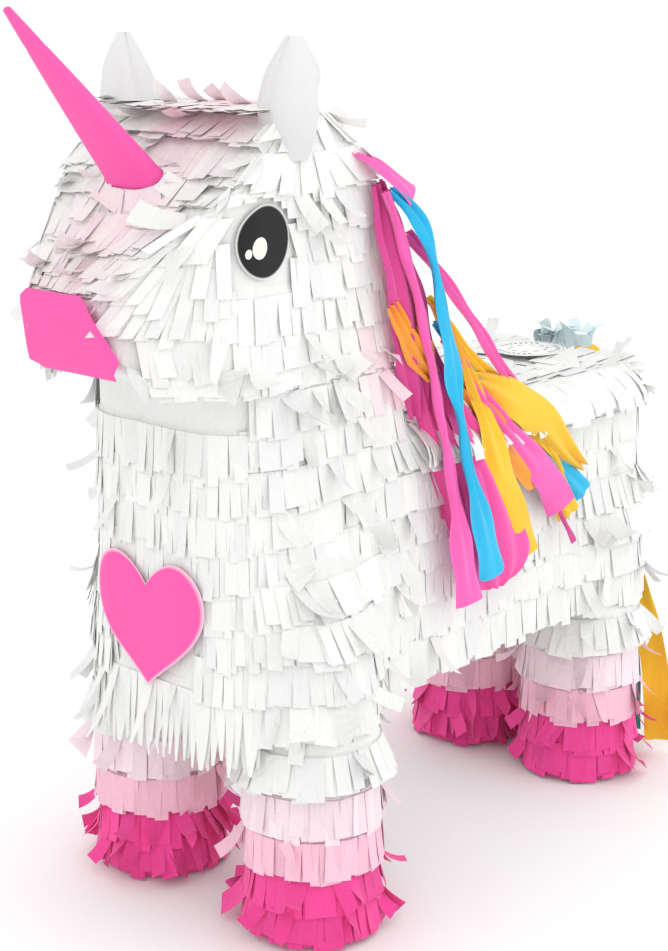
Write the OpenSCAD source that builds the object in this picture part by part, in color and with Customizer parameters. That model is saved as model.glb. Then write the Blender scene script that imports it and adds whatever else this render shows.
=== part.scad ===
// Unicorn pinata: a card core covered in rows of cut tissue, standing on four legs.
// Nose towards -Y, the animal's left side towards +X, ground at z = 0.

/* [Body] */
// Width of the body across its tissue
body_w = 150; // [140:1:180]
// Length from the chest to the rump, tissue included
body_len = 420; // [350:1:510]
// Height of the back above the ground
back_z = 300; // [270:1:320]
// Height of the underside of the body
belly_z = 142; // [115:1:172]
// Front to back depth of the neck where it meets the back
neck_d = 148; // [125:1:178]
// Radius of the two upright chest corners
chest_corner_r = 48; // [30:1:60]
// Radius of the two upright rump corners
rump_corner_r = 36; // [22:1:50]
// Height of the bevel along the top of the rump
rump_bevel = 17; // [10:1:25]

/* [Head] */
// Height of the jaw above the ground
jaw_z = 335; // [325:1:345]
// Height of the crown above the ground
crown_z = 487; // [470:1:560]
// How far the muzzle stands out past the chest
muzzle_reach = 60; // [50:1:72]
// Height of the upper edge of the muzzle
muzzle_top_z = 388; // [380:1:400]
// Height of the lower edge of the muzzle
muzzle_low_z = 348; // [344:1:356]
// Width of the muzzle
muzzle_w = 54; // [44:1:66]
// Where the cheeks start to narrow, behind the muzzle
cheek_len = 68; // [56:1:80]
// From the chest line back to the brow
brow_back = 44; // [34:1:52]
// Length of the flat crown
crown_len = 32; // [24:1:40]
// Drop of the poll behind the crown
poll_drop = 32; // [24:1:40]
// Length of the poll slope
poll_len = 38; // [30:1:46]

/* [Card and tissue] */
// Thickness of the card
board_t = 2.5; // [2:0.1:3.2]
// Depth of the tissue fringe over the card
fringe_t = 9; // [7:0.5:11]
// Thickness of a paper sticker or patch
paper_t = 1; // [0.6:0.1:1.6]
// Glue gap between pieces
glue = 0.2; // [0.1:0.05:0.3]

/* [Legs] */
// Outer radius of a leg tube
tube_r = 30; // [24:1:32]
// Outer radius of a leg or hoof across its tissue
hoof_r = 40.5; // [36:0.5:45]
// From the side of the body in to the middle of a front leg
front_leg_side = 9; // [5:1:17]
// Distance of the front legs behind the chest line
front_leg_back = 66; // [50:1:80]
// From the side of the body in to the middle of a rear leg
rear_leg_side = 26; // [19:1:29]
// Distance of the rear legs ahead of the rump
rear_leg_in = 52; // [46:1:62]
// Height of the shoulder, where the legs end on the sides of the body
shoulder_z = 178; // [174:1:195]
// Height of the hot-pink hoof fringe
hoof_h = 48; // [40:1:56]
// Height of the light-pink cuff
pink_cuff_h = 22; // [16:1:27]
// Height of the pale-pink cuff
pale_cuff_h = 26; // [18:1:32]
// Clearance of the tissue above the ground
ground_gap = 2; // [1:0.5:4]

/* [Fill flap] */
// Width of the flap
flap_w = 66; // [60:1:80]
// Length of the flap from its crease to its free edge
flap_l = 62; // [58:1:66]
// Distance of the crease ahead of the rump
crease_in = 88; // [80:1:96]
// Gap round the sides of the flap
flap_gap = 1; // [0.8:0.1:2]
// Diameter of the round label on the flap
label_d = 54; // [40:1:56]

/* [Hanging] */
// Radius of a hanging hole
hang_r = 4; // [3:0.5:6]
// Distance between the two hanging holes
hang_gap = 40; // [30:1:60]
// Distance of the middle of the two holes behind the neck
hang_back = 88; // [60:1:100]
// Thickness of the doubling plate under the holes
hang_plate_t = 5; // [3:0.5:8]
// Margin of the doubling plate round the holes
hang_margin = 24; // [16:1:30]

/* [Horn] */
// Length of the horn above the tissue
horn_len = 127; // [100:1:155]
// Half the width of the flattened horn at its base
horn_r = 20; // [15:0.5:24]
// Half the depth of the flattened horn at its base
horn_d = 8; // [7:0.5:12]
// Half the width of the horn's blunt tip
horn_tip_r = 1.6; // [1:0.1:3]
// Thickness of the folded paper of the horn
horn_wall = 1.2; // [0.8:0.1:1.6]
// Distance of the horn's centre up the forehead from the muzzle
horn_seat = 82; // [66:1:98]

/* [Ears and eyes] */
// Width of an ear at its base
ear_w = 40; // [32:1:48]
// Length of an ear
ear_len = 60; // [48:1:72]
// Radius of the rounded ear tip
ear_tip_r = 9; // [6:1:12]
// How far an ear stands above the crown
ear_rise = 33; // [26:1:44]
// Distance of an ear behind the chest line
ear_back = 47; // [40:1:60]
// Radius of an eye
eye_r = 19; // [15:0.5:23]
// Distance of an eye behind the chest line
eye_back = 21; // [18:1:26]
// Height of an eye above the jaw
eye_up = 81; // [66:1:97]
// Radius of the large highlight of an eye
glint_r = 3.4; // [2.5:0.1:4]

/* [Heart] */
// Side of the square that the heart is built on
heart_side = 48; // [40:1:57]
// Height of the heart's middle above the belly line
heart_up = 47; // [40:1:60]

/* [Mane] */
// Width of the mane header along the edge of the neck
header_w = 14; // [10:1:18]
// Depth of the mane header off the side of the neck
header_t = 9; // [8:0.5:11]
// Width of a long free streamer
long_streamer_w = 20; // [14:1:24]
// Width of the yellow streamers
yellow_w = 20; // [14:1:24]
// Width of the narrow streamers
narrow_w = 11; // [8:1:14]
// Radius of the rounded lower end of the lobe
lobe_r = 34; // [26:1:40]

/* [Tail] */
// Radius of the band that ties the tail
tail_band_r = 8; // [6:0.5:10]
// Width of the band
tail_band_w = 34; // [26:1:42]
// Width of a tail streamer
tail_streamer_w = 20; // [14:1:24]
// Height of the tail's lowest end above the ground
tail_ground = 6; // [4:1:20]
// Height of the tissue tuft at the root of the tail
tuft_h = 22; // [16:1:28]

/* [Hidden] */
$fn = 96;

far = 700;
core_i = fringe_t;
inner_i = fringe_t + board_t;
between_i = inner_i + glue;

function unit(v) = v / norm(v);

// Places along Y are first counted from the chest line, then moved so that the horn's tip and the
// tail's band are equally far from the middle.
crown_lift = 3;
brow_rise = [brow_back + muzzle_reach, crown_z - crown_lift - muzzle_top_z];
up_forehead = unit(brow_rise);
off_forehead = [-up_forehead[1], up_forehead[0]];
horn_tip_rel = -muzzle_reach + up_forehead[0] * (horn_seat - horn_tip_r) + off_forehead[0] * horn_len;
tail_stand = 0.8;
tail_rear_rel = body_len + tail_stand + 2 * tail_band_r;
chest_y = -(horn_tip_rel + tail_rear_rel) / 2;
rump_y = chest_y + body_len;
muzzle_y = chest_y - muzzle_reach;
withers_y = chest_y + neck_d;
brow_y = chest_y + brow_back;
crown_y = brow_y + crown_len;
poll_y = crown_y + poll_len;
poll_z = crown_z - poll_drop;

// The side outline, clockwise with the nose on the left, as (y, z).
chin_in = 11;
jaw_front_in = 34;
outline = [
    [chest_y, belly_z],
    [chest_y, jaw_z],
    [muzzle_y + jaw_front_in, jaw_z],
    [muzzle_y + chin_in, muzzle_low_z],
    [muzzle_y, muzzle_top_z],
    [brow_y, crown_z - crown_lift],
    [crown_y, crown_z],
    [poll_y, poll_z],
    [withers_y, back_z],
    [rump_y - rump_bevel, back_z],
    [rump_y, back_z - rump_bevel],
    [rump_y, belly_z]];

// The head seen from above, clockwise, as (x, y): the cheeks narrow towards the muzzle.
half_w = body_w / 2;
cheek_y = muzzle_y + cheek_len;
cheek_slope = (half_w - muzzle_w / 2) / cheek_len;
nose_run = 20;
nose_x = muzzle_w / 2 - cheek_slope * nose_run;
head_plan = [
    [nose_x, muzzle_y - nose_run],
    [-nose_x, muzzle_y - nose_run],
    [-half_w, cheek_y],
    [-half_w, withers_y + inner_i],
    [half_w, withers_y + inner_i],
    [half_w, cheek_y]];

// Each side moved inwards by d, for a list of points that runs clockwise.
function inset(p, d) = [
    for (i = [0 : len(p) - 1])
        let (
            n = len(p),
            u = unit(p[i] - p[(i + n - 1) % n]),
            v = unit(p[(i + 1) % n] - p[i]),
            nu = [u[1], -u[0]],
            nv = [v[1], -v[0]])
        p[i] + d * (nu + nv) / (1 + nu * nv)];

// One edge of the outline as a strip of card, with a glue gap at both ends.
function edge_strip(k) =
    let (
        a = inset(outline, core_i),
        b = inset(outline, inner_i),
        m = (k + 1) % len(outline),
        along = unit(outline[m] - outline[k]) * glue)
    [a[k] + along, a[m] - along, b[m] - along, b[k] + along];

// The two edges of a ribbon of width w along a path.
function ribbon(path, w) =
    let (
        n = len(path) - 1,
        t = [for (i = [0 : n]) unit(path[min(i + 1, n)] - path[max(i - 1, 0)])],
        side = [for (d = t) [-d[1], d[0]] * w / 2])
    concat(
        [for (i = [0 : n]) path[i] + side[i]],
        [for (i = [n : -1 : 0]) path[i] - side[i]]);

// A flat drawing in (y, z), given the thickness t from x0 outwards.
module side_sheet(x0, t) {
    translate([x0, 0, 0])
        rotate([90, 0, 90])
            linear_extrude(t)
                children();
}

module along_x() {
    side_sheet(-far / 2, far)
        children();
}

module upright(z0, z1) {
    translate([0, 0, z0])
        linear_extrude(z1 - z0)
            children();
}

module plan_low(i) {
    w = half_w - i;
    y0 = chest_y + i;
    y1 = rump_y - i;
    r0 = chest_corner_r - i;
    r1 = rump_corner_r - i;
    translate([-w, y0 + r0])
        square([2 * w, y1 - r1 - y0 - r0]);
    translate([-w + r0, y0])
        square([2 * (w - r0), r0 + 1]);
    translate([-w + r1, y1 - r1 - 1])
        square([2 * (w - r1), r1 + 1]);
    for (s = [-1, 1]) {
        translate([s * (w - r0), y0 + r0])
            circle(r0);
        translate([s * (w - r1), y1 - r1])
            circle(r1);
    }
}

module plan_high(i) {
    polygon(inset(head_plan, i));
}

// The whole body, neck and head, with every face moved inwards by i.
module form(i) {
    intersection() {
        along_x()
            polygon(inset(outline, i));
        union() {
            upright(0, jaw_z + i)
                plan_low(i);
            upright(jaw_z + i, far)
                plan_high(i);
        }
    }
}

module strip_board(k, high) {
    intersection() {
        along_x()
            polygon(edge_strip(k));
        upright(0, far)
            if (high)
                plan_high(between_i);
            else
                plan_low(between_i);
    }
}

// Legs
front_leg_x = body_w / 2 - front_leg_side;
front_leg_y = chest_y + front_leg_back;
rear_leg_x = body_w / 2 - rear_leg_side;
rear_leg_y = rump_y - rear_leg_in;
legs = [
    [front_leg_x, front_leg_y],
    [-front_leg_x, front_leg_y],
    [rear_leg_x, rear_leg_y],
    [-rear_leg_x, rear_leg_y]];
cuff_z0 = hoof_h + glue;
cuff_z1 = cuff_z0 + pink_cuff_h;
pale_z0 = cuff_z1 + glue;
pale_z1 = pale_z0 + pale_cuff_h;
shoulder_cover = 6;

module leg_cylinder(leg, r, z0, z1) {
    translate([leg[0], leg[1], z0])
        cylinder(h = z1 - z0, r = r);
}

module leg_ring(leg, z0, z1) {
    difference() {
        leg_cylinder(leg, hoof_r, z0, z1);
        leg_cylinder(leg, tube_r + glue, z0 - 1, z1 + 1);
    }
}

module all_leg_holes() {
    for (leg = legs)
        leg_cylinder(leg, tube_r + glue, 0, shoulder_z + glue);
}

module leg_tube(leg) {
    color("burlywood")
        difference() {
            leg_cylinder(leg, tube_r, board_t + glue, shoulder_z);
            leg_cylinder(leg, tube_r - board_t, 0, shoulder_z - board_t);
            form(core_i - glue);
        }
}

module leg_fringe(leg) {
    color("white")
        difference() {
            leg_cylinder(leg, hoof_r, pale_z1 + glue, shoulder_z + shoulder_cover);
            leg_cylinder(leg, tube_r + glue, 0, shoulder_z + glue);
            form(-glue);
        }
}

module hoof_fringe(leg) {
    color("deeppink")
        leg_ring(leg, ground_gap, hoof_h);
}

module soles() {
    color("burlywood")
        for (leg = legs)
            leg_cylinder(leg, tube_r, 0, board_t);
}

module pink_cuffs() {
    color("pink")
        for (leg = legs)
            leg_ring(leg, cuff_z0, cuff_z1);
}

module pale_cuffs() {
    color("mistyrose")
        for (leg = legs)
            leg_ring(leg, pale_z0, pale_z1);
}

// Card core
floor_z = belly_z + core_i;
chest_corner_y = chest_y + chest_corner_r;
rump_corner_y = rump_y - rump_corner_r;

module card_bend(z0, z1) {
    upright(z0, z1)
        difference() {
            plan_low(core_i);
            plan_low(inner_i);
        }
}

module chest_board() {
    color("burlywood")
        intersection() {
            card_bend(floor_z + board_t + glue, jaw_z + inner_i);
            translate([-far / 2, -far, 0])
                cube([far, far + chest_corner_y, far]);
        }
}

module rump_board() {
    top = inset(outline, inner_i)[10];
    color("burlywood")
        intersection() {
            card_bend(floor_z + board_t + glue, top[1] - glue);
            translate([-far / 2, rump_corner_y, 0])
                cube([far, far, far]);
        }
}

module side_board_outline() {
    intersection() {
        polygon(inset(outline, core_i));
        union() {
            translate([chest_corner_y + glue, floor_z + board_t + glue])
                square([rump_corner_y - chest_corner_y - 2 * glue, jaw_z - floor_z]);
            translate([inset(head_plan, inner_i)[5][1] + glue, jaw_z + inner_i + glue])
                square([far, far]);
            translate([chest_corner_y + glue, jaw_z])
                square([far, inner_i + 2]);
        }
    }
}

module side_board() {
    color("burlywood")
        side_sheet(half_w - inner_i, board_t)
            side_board_outline();
}

module belly_board() {
    color("burlywood")
        upright(floor_z, floor_z + board_t)
            plan_low(core_i);
}

crease_y = rump_y - crease_in;
flap_end_y = crease_y + flap_l;
hang_y = withers_y + hang_back;
hang_ys = [hang_y - hang_gap / 2, hang_y + hang_gap / 2];
card_top_z = back_z - core_i;
card_low_z = back_z - inner_i;

module hang_holes(r) {
    for (y = hang_ys)
        translate([0, y, card_low_z - 2 * hang_plate_t])
            cylinder(h = far, r = r);
}

module flap_hole() {
    translate([-flap_w / 2 - flap_gap, crease_y - flap_gap / 2, card_low_z - 1])
        cube([flap_w + 2 * flap_gap, flap_l + 2.5 * flap_gap, fringe_t + board_t + 2]);
}

module back_board() {
    color("burlywood")
        difference() {
            strip_board(8, false);
            flap_hole();
            hang_holes(hang_r);
        }
}

module hang_plate() {
    color("tan")
        difference() {
            translate([-hang_margin, hang_ys[0] - hang_margin, card_low_z - glue - hang_plate_t])
                cube([2 * hang_margin, hang_gap + 2 * hang_margin, hang_plate_t]);
            hang_holes(hang_r);
        }
}

module rump_bevel_board() {
    color("burlywood")
        strip_board(9, false);
}

module nape_board() {
    color("burlywood")
        strip_board(7, true);
}

module poll_board() {
    color("burlywood")
        strip_board(6, true);
}

module crown_board() {
    color("burlywood")
        strip_board(5, true);
}

module forehead_board() {
    color("burlywood")
        strip_board(4, true);
}

module muzzle_board() {
    color("burlywood")
        strip_board(3, true);
}

module chin_board() {
    color("burlywood")
        strip_board(2, true);
}

module jaw_board() {
    front = inset(outline, core_i)[2];
    color("burlywood")
        upright(jaw_z + core_i, jaw_z + inner_i)
            difference() {
                intersection() {
                    plan_high(between_i);
                    translate([-far / 2, front[0] + board_t])
                        square([far, chest_corner_y - front[0] - board_t]);
                }
                plan_low(core_i - glue);
                translate([-far / 2, chest_corner_y])
                    square([far, far]);
            }
}

module cheek_board() {
    a = inset(head_plan, core_i);
    b = inset(head_plan, inner_i);
    color("burlywood")
        intersection() {
            upright(0, far)
                polygon([a[0], a[5], b[5], b[0]]);
            along_x()
                intersection() {
                    polygon(inset(outline, core_i));
                    translate([-far, jaw_z + core_i])
                        square([2 * far, far]);
                }
        }
}

// Fill flap: cut on three sides, creased along its front edge.
flap_z0 = card_low_z;

module flap_slab(z0, z1) {
    translate([-flap_w / 2, crease_y, z0])
        cube([flap_w, flap_l, z1 - z0]);
}

module fill_flap() {
    color("burlywood")
        flap_slab(flap_z0, card_top_z);
}

module flap_fringe() {
    color("white")
        flap_slab(card_top_z + glue, back_z);
}

module fill_label() {
    color("whitesmoke")
        translate([0, crease_y + flap_l / 2, back_z + glue])
            cylinder(h = paper_t, d = label_d);
}

// Tissue
horn_foot = [muzzle_y + up_forehead[0] * horn_seat, muzzle_top_z + up_forehead[1] * horn_seat];
horn_tilt = atan2(off_forehead[1], -off_forehead[0]);

// The frame of the horn: its axis is +Z, and z = 0 is the surface of the tissue.
module horn_frame() {
    translate([0, horn_foot[0], horn_foot[1]])
        rotate([90 - horn_tilt, 0, 0])
            children();
}

module tissue() {
    difference() {
        form(0);
        form(core_i - glue);
        all_leg_holes();
        flap_hole();
        hang_holes(hang_r + 1);
        horn_frame()
            cube([2 * (horn_r + glue), 2 * (horn_d + glue), far / 10], center = true);
    }
}

module chest_fringe() {
    color("white")
        intersection() {
            tissue();
            translate([-far / 2, -far, 0])
                cube([far, far + withers_y, jaw_z - glue]);
        }
}

module body_fringe() {
    color("white")
        intersection() {
            tissue();
            translate([-far / 2, withers_y + glue, 0])
                cube([far, far, jaw_z - glue]);
        }
}

module head_fringe() {
    color("white")
        intersection() {
            tissue();
            translate([-far / 2, -far, jaw_z + glue])
                cube([far, 2 * far, far]);
        }
}

// Trim
// A flat horn: wide sides that taper along X, crossed with narrow ones that taper across it.
module horn_wedge(wide, deep, tip, high) {
    intersection() {
        rotate([90, 0, 0])
            linear_extrude(height = far / 10, center = true)
                polygon([[-wide, 0], [wide, 0], [tip, high], [-tip, high]]);
        rotate([90, 0, 90])
            linear_extrude(height = far / 10, center = true)
                polygon([[-deep, 0], [deep, 0], [tip, high], [-tip, high]]);
    }
}

module horn() {
    foot = core_i - glue;
    hollow = 0.75 * horn_len;
    color("hotpink")
        horn_frame()
            difference() {
                union() {
                    horn_wedge(horn_r, horn_d, horn_tip_r, horn_len);
                    translate([-horn_r, -horn_d, -foot])
                        cube([2 * horn_r, 2 * horn_d, foot + glue]);
                }
                translate([horn_wall - horn_r, horn_wall - horn_d, -foot - 1])
                    cube([2 * (horn_r - horn_wall), 2 * (horn_d - horn_wall), foot + 1]);
                translate([0, 0, -glue])
                    horn_wedge(horn_r - horn_wall, horn_d - horn_wall, horn_wall, hollow);
            }
}

ear_y = chest_y + ear_back;
ear_top_z = crown_z + ear_rise;

module ear() {
    color("white")
        side_sheet(half_w + glue, paper_t + 1)
            translate([ear_y, ear_top_z - ear_len]) {
                polygon([
                    [-ear_w / 2, 0],
                    [ear_w / 2, 0],
                    [ear_w * 0.42, ear_len * 0.45],
                    [ear_tip_r, ear_len - ear_tip_r],
                    [-ear_tip_r, ear_len - ear_tip_r],
                    [-ear_w * 0.42, ear_len * 0.45]]);
                translate([0, ear_len - ear_tip_r])
                    circle(ear_tip_r);
            }
}

eye_y = chest_y + eye_back;
eye_z = jaw_z + eye_up;

module eye() {
    color("dimgray")
        side_sheet(half_w + glue, paper_t)
            translate([eye_y, eye_z])
                circle(eye_r);
}

module glints() {
    side_sheet(half_w + 2 * glue + paper_t, paper_t / 2) {
        translate([eye_y - eye_r * 0.3, eye_z - eye_r * 0.1])
            circle(glint_r);
        translate([eye_y - eye_r * 0.1, eye_z - eye_r * 0.5])
            circle(glint_r * 0.6);
    }
}

module eye_glints() {
    color("ivory") {
        glints();
        mirror([1, 0, 0])
            glints();
    }
}

module heart_drawing() {
    lobe = heart_side * sqrt(2) / 4;
    rotate(45)
        square(heart_side, center = true);
    for (s = [-1, 1])
        translate([s * lobe, lobe])
            circle(heart_side / 2 + glue);
}

module heart_patch() {
    color("hotpink")
        intersection() {
            upright(0, jaw_z)
                difference() {
                    plan_low(-glue - paper_t);
                    plan_low(-glue);
                }
            translate([0, chest_corner_y, belly_z + heart_up])
                rotate([90, 0, 0])
                    linear_extrude(far / 2)
                        heart_drawing();
        }
}

nose_wrap = 20;

module nose_patch() {
    color("hotpink")
        intersection() {
            difference() {
                form(-glue - paper_t);
                form(-glue);
            }
            translate([-far / 2, muzzle_y - far, muzzle_low_z])
                cube([far, far + nose_wrap, muzzle_top_z - muzzle_low_z]);
        }
}

// Mane: a header along the edge of the neck, and streamers that leave its rear edge.
mane_x = half_w + glue;
nape_dir = unit(outline[8] - outline[7]);
nape_off = [-nape_dir[1], nape_dir[0]];
mane_top = outline[7] - nape_off * header_w;
mane_len = norm(outline[8] - outline[7]);
function mane_at(down, back) = mane_top + nape_dir * down + nape_off * (header_w / 2 + back);
layer = header_t / 6;

module mane_layer(n) {
    side_sheet(mane_x + n * layer * 1.5, layer)
        children();
}

module mane_header() {
    color("hotpink")
        side_sheet(mane_x, header_t)
            polygon(ribbon([mane_at(0, 0), mane_at(mane_len, 0)], header_w));
}

module header_cut() {
    polygon(ribbon([mane_at(-1, 0), mane_at(mane_len + 1, 0)], header_w + 2 * glue));
}

module mane_lobe() {
    low = mane_len + 104;
    middle = 65;
    color("deeppink")
        mane_layer(0)
            difference() {
                union() {
                    polygon([
                        mane_at(mane_len - 48, header_w / 2),
                        mane_at(mane_len + 18, middle + lobe_r + 8),
                        mane_at(low, middle + lobe_r),
                        mane_at(low, middle - lobe_r),
                        mane_at(mane_len - 8, header_w / 2)]);
                    translate(mane_at(low, middle))
                        circle(lobe_r);
                }
                header_cut();
            }
}

// Points of each shorter streamer: how far down the header's line, and how far behind it.
yellow_paths = [
    [[100, 8], [150, 34], [284, 79]],
    [[122, 8], [190, 80], [252, 152]]];
pink_paths = [
    [[40, 8], [80, 37], [171, 91], [254, 148]],
    [[56, 10], [140, 18], [196, 24]]];
orange_paths = [
    [[76, 12], [92, 18], [131, 22]]];

module mane_ribbons(n, paths, w) {
    mane_layer(n)
        difference() {
            for (path = paths)
                polygon(ribbon([for (p = path) mane_at(p[0], p[1])], w));
            header_cut();
        }
}

module mane_yellow() {
    color("gold")
        mane_ribbons(1, yellow_paths, yellow_w);
}

module mane_pink() {
    color("hotpink")
        mane_ribbons(2, pink_paths, narrow_w);
}

module mane_orange() {
    color("orange")
        mane_ribbons(3, orange_paths, yellow_w);
}

// Two long streamers hang free from the top of the mane, outside all the others.
long_gap = 1;
long_x = mane_x + header_t + long_gap;
long_t = layer;
long_pivot = mane_at(8, 0);
pink_path = [[3, -7], [22, -50], [50, -136], [78, -268]];
turquoise_path = [[8, -10], [38, -48], [62, -144], [98, -256]];

module long_streamer(n, path) {
    side_sheet(long_x + n * (long_t + long_gap), long_t)
        translate(long_pivot)
            polygon(ribbon(path, long_streamer_w));
}

module long_pink() {
    color("hotpink")
        long_streamer(0, pink_path);
}

module long_turquoise() {
    color("deepskyblue")
        long_streamer(1, turquoise_path);
}

// Tail: a tied bundle of streamers that swings at the top of the rump.
tail_y = rump_y + tail_stand + tail_band_r;
tail_z = back_z - rump_bevel + 5;
tail_t = 1.5;
tuft_w = 44;
tuft_d = 7;

module rear_sheet(y0, t) {
    translate([0, y0 + t, 0])
        rotate([90, 0, 0])
            linear_extrude(t)
                children();
}

module tail_tuft() {
    front = rump_y - rump_bevel + 1;
    back = front + tuft_d;
    color("lightblue")
        side_sheet(-tuft_w / 2, tuft_w)
            polygon([
                [front, back_z + glue],
                [front, back_z + tuft_h],
                [back, back_z + tuft_h],
                [back, back_z - tuft_d + glue]]);
}

module tail_band() {
    color("khaki")
        translate([-tail_band_w / 2, tail_y, tail_z])
            rotate([0, 90, 0])
                cylinder(h = tail_band_w, r = tail_band_r);
}

module tail_fan(n, spreads) {
    top = tail_z - tail_band_r - 2 * long_gap;
    y0 = tail_y - tail_band_r + n * (tail_t + long_gap);
    rear_sheet(y0, tail_t)
        for (s = spreads)
            polygon(ribbon(
                [[s * 0.12, top], [s * 0.85, top * 0.42], [s, tail_ground]],
                tail_streamer_w));
}

module tail_yellow() {
    color("gold")
        tail_fan(0, [76, -44]);
}

module tail_teal() {
    color("lightseagreen")
        tail_fan(1, [54, -68]);
}

module tail_pink() {
    color("hotpink")
        tail_fan(2, [20, -18]);
}

chest_board();
side_board();  // left_side_board
mirror([1, 0, 0]) side_board();  // right_side_board
belly_board();
rump_board();
rump_bevel_board();
back_board();
hang_plate();
nape_board();
poll_board();
crown_board();
forehead_board();
muzzle_board();
chin_board();
jaw_board();
cheek_board();  // left_cheek_board
mirror([1, 0, 0]) cheek_board();  // right_cheek_board
fill_flap();
flap_fringe();
fill_label();
leg_tube(legs[0]);  // front_left_tube
leg_tube(legs[1]);  // front_right_tube
leg_tube(legs[2]);  // rear_left_tube
leg_tube(legs[3]);  // rear_right_tube
soles();
leg_fringe(legs[0]);  // front_left_fringe
leg_fringe(legs[1]);  // front_right_fringe
leg_fringe(legs[2]);  // rear_left_fringe
leg_fringe(legs[3]);  // rear_right_fringe
pale_cuffs();
pink_cuffs();
hoof_fringe(legs[0]);  // front_left_hoof
hoof_fringe(legs[1]);  // front_right_hoof
hoof_fringe(legs[2]);  // rear_left_hoof
hoof_fringe(legs[3]);  // rear_right_hoof
chest_fringe();
body_fringe();
head_fringe();
horn();
ear();  // left_ear
mirror([1, 0, 0]) ear();  // right_ear
eye();  // left_eye
mirror([1, 0, 0]) eye();  // right_eye
eye_glints();
heart_patch();
nose_patch();
mane_header();
mane_lobe();
mane_yellow();
mane_pink();
mane_orange();
long_pink();
long_turquoise();
tail_tuft();
tail_band();
tail_yellow();
tail_teal();
tail_pink();
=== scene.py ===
"""Unicorn pinata: rows of cut tissue, folded paper and crepe streamers built round its packed card core."""

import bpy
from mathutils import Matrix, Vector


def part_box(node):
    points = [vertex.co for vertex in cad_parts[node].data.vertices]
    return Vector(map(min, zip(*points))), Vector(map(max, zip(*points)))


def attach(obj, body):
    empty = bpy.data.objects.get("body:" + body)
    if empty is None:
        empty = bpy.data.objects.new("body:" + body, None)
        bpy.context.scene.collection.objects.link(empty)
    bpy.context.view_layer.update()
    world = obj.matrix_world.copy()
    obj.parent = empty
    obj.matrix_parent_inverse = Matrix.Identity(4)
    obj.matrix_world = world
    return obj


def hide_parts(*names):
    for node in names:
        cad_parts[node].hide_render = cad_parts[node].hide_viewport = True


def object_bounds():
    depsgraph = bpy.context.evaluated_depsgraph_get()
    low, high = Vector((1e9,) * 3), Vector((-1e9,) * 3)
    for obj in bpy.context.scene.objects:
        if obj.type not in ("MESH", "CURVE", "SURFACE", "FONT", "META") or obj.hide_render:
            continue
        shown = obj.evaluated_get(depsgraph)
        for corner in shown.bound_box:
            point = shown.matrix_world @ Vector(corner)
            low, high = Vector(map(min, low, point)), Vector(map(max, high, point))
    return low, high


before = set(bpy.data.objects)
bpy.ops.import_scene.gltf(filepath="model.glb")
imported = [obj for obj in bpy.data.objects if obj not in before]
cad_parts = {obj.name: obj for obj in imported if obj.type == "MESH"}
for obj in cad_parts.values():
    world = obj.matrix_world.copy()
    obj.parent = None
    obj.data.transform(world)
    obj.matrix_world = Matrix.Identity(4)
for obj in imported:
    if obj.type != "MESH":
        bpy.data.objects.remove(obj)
CAD_BOX = [list(corner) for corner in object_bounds()]

import math

import bpy
import numpy as np
from bpy.props import FloatProperty, FloatVectorProperty, IntProperty, PointerProperty
from mathutils import Vector

bl_info = {
    "name": "Unicorn Pinata",
    "version": (1, 0, 0),
    "blender": (4, 5, 0),
    "location": "View3D > Sidebar > Pinata",
    "description": "Covers a unicorn-shaped card core with tissue fringe, paper trim and streamers",
    "category": "Add Mesh",
}

MM = 0.001
UNDERLAY_IN = 0.005  # how far the plain tissue lies under the fringe's outer face
ROW_IN = 0.0038  # how far under that face the rows are glued
HOLE_IN = 0.024  # from each end of the hanging plate to the middle of its hole
SHEET = 0.0004  # thickness of folded paper
CREPE = 0.00018  # thickness of a streamer
PLIES = 2  # layers of tissue in a row
BACK_TAB_W = 0.0085  # width of a tab on the back
UNDER_TONE = 0.4  # tone of the plain tissue between the rows
SLEEVE_TONE = -0.3  # tone of the sleeves under the legs' rows


# ---------------------------------------------------------------------------------------------
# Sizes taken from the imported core


def low(node):
    return np.array(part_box(node)[0])


def high(node):
    return np.array(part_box(node)[1])


def middle(node):
    return (low(node) + high(node)) / 2


HALF_W = high("body_fringe")[0]
BACK_Z = high("body_fringe")[2]
BELLY_Z = low("body_fringe")[2]
RUMP_Y = high("body_fringe")[1]
WITHERS_Y = low("body_fringe")[1]
CHEST_Y = low("chest_fringe")[1]
JAW_Z = low("head_fringe")[2]
CROWN_Z = high("head_fringe")[2]
MUZZLE_Y = low("head_fringe")[1]
NOSE_LOW, NOSE_TOP = low("nose_patch")[2], high("nose_patch")[2]
NOSE_W = 27 * MM  # half the width of the muzzle
LEGS = {name: middle(name + "_hoof")[:2] for name in ("front_left", "front_right", "rear_left", "rear_right")}
HOOF_R = (high("front_left_hoof")[0] - low("front_left_hoof")[0]) / 2


# ---------------------------------------------------------------------------------------------
# Sizes and colours that a user may change


def length_prop(name, description, default):
    return FloatProperty(name=name, description=description, default=default, unit="LENGTH", precision=4)


def colour_prop(name, description, code):
    return FloatVectorProperty(
        name=name, description=description, default=linear(code), subtype="COLOR", size=3, min=0, max=1
    )


def linear(code):
    """An sRGB hex colour as linear red, green and blue."""
    part = np.array([int(code[i : i + 2], 16) / 255 for i in (0, 2, 4)])
    return tuple(np.where(part <= 0.04045, part / 12.92, ((part + 0.055) / 1.055) ** 2.4))


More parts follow.
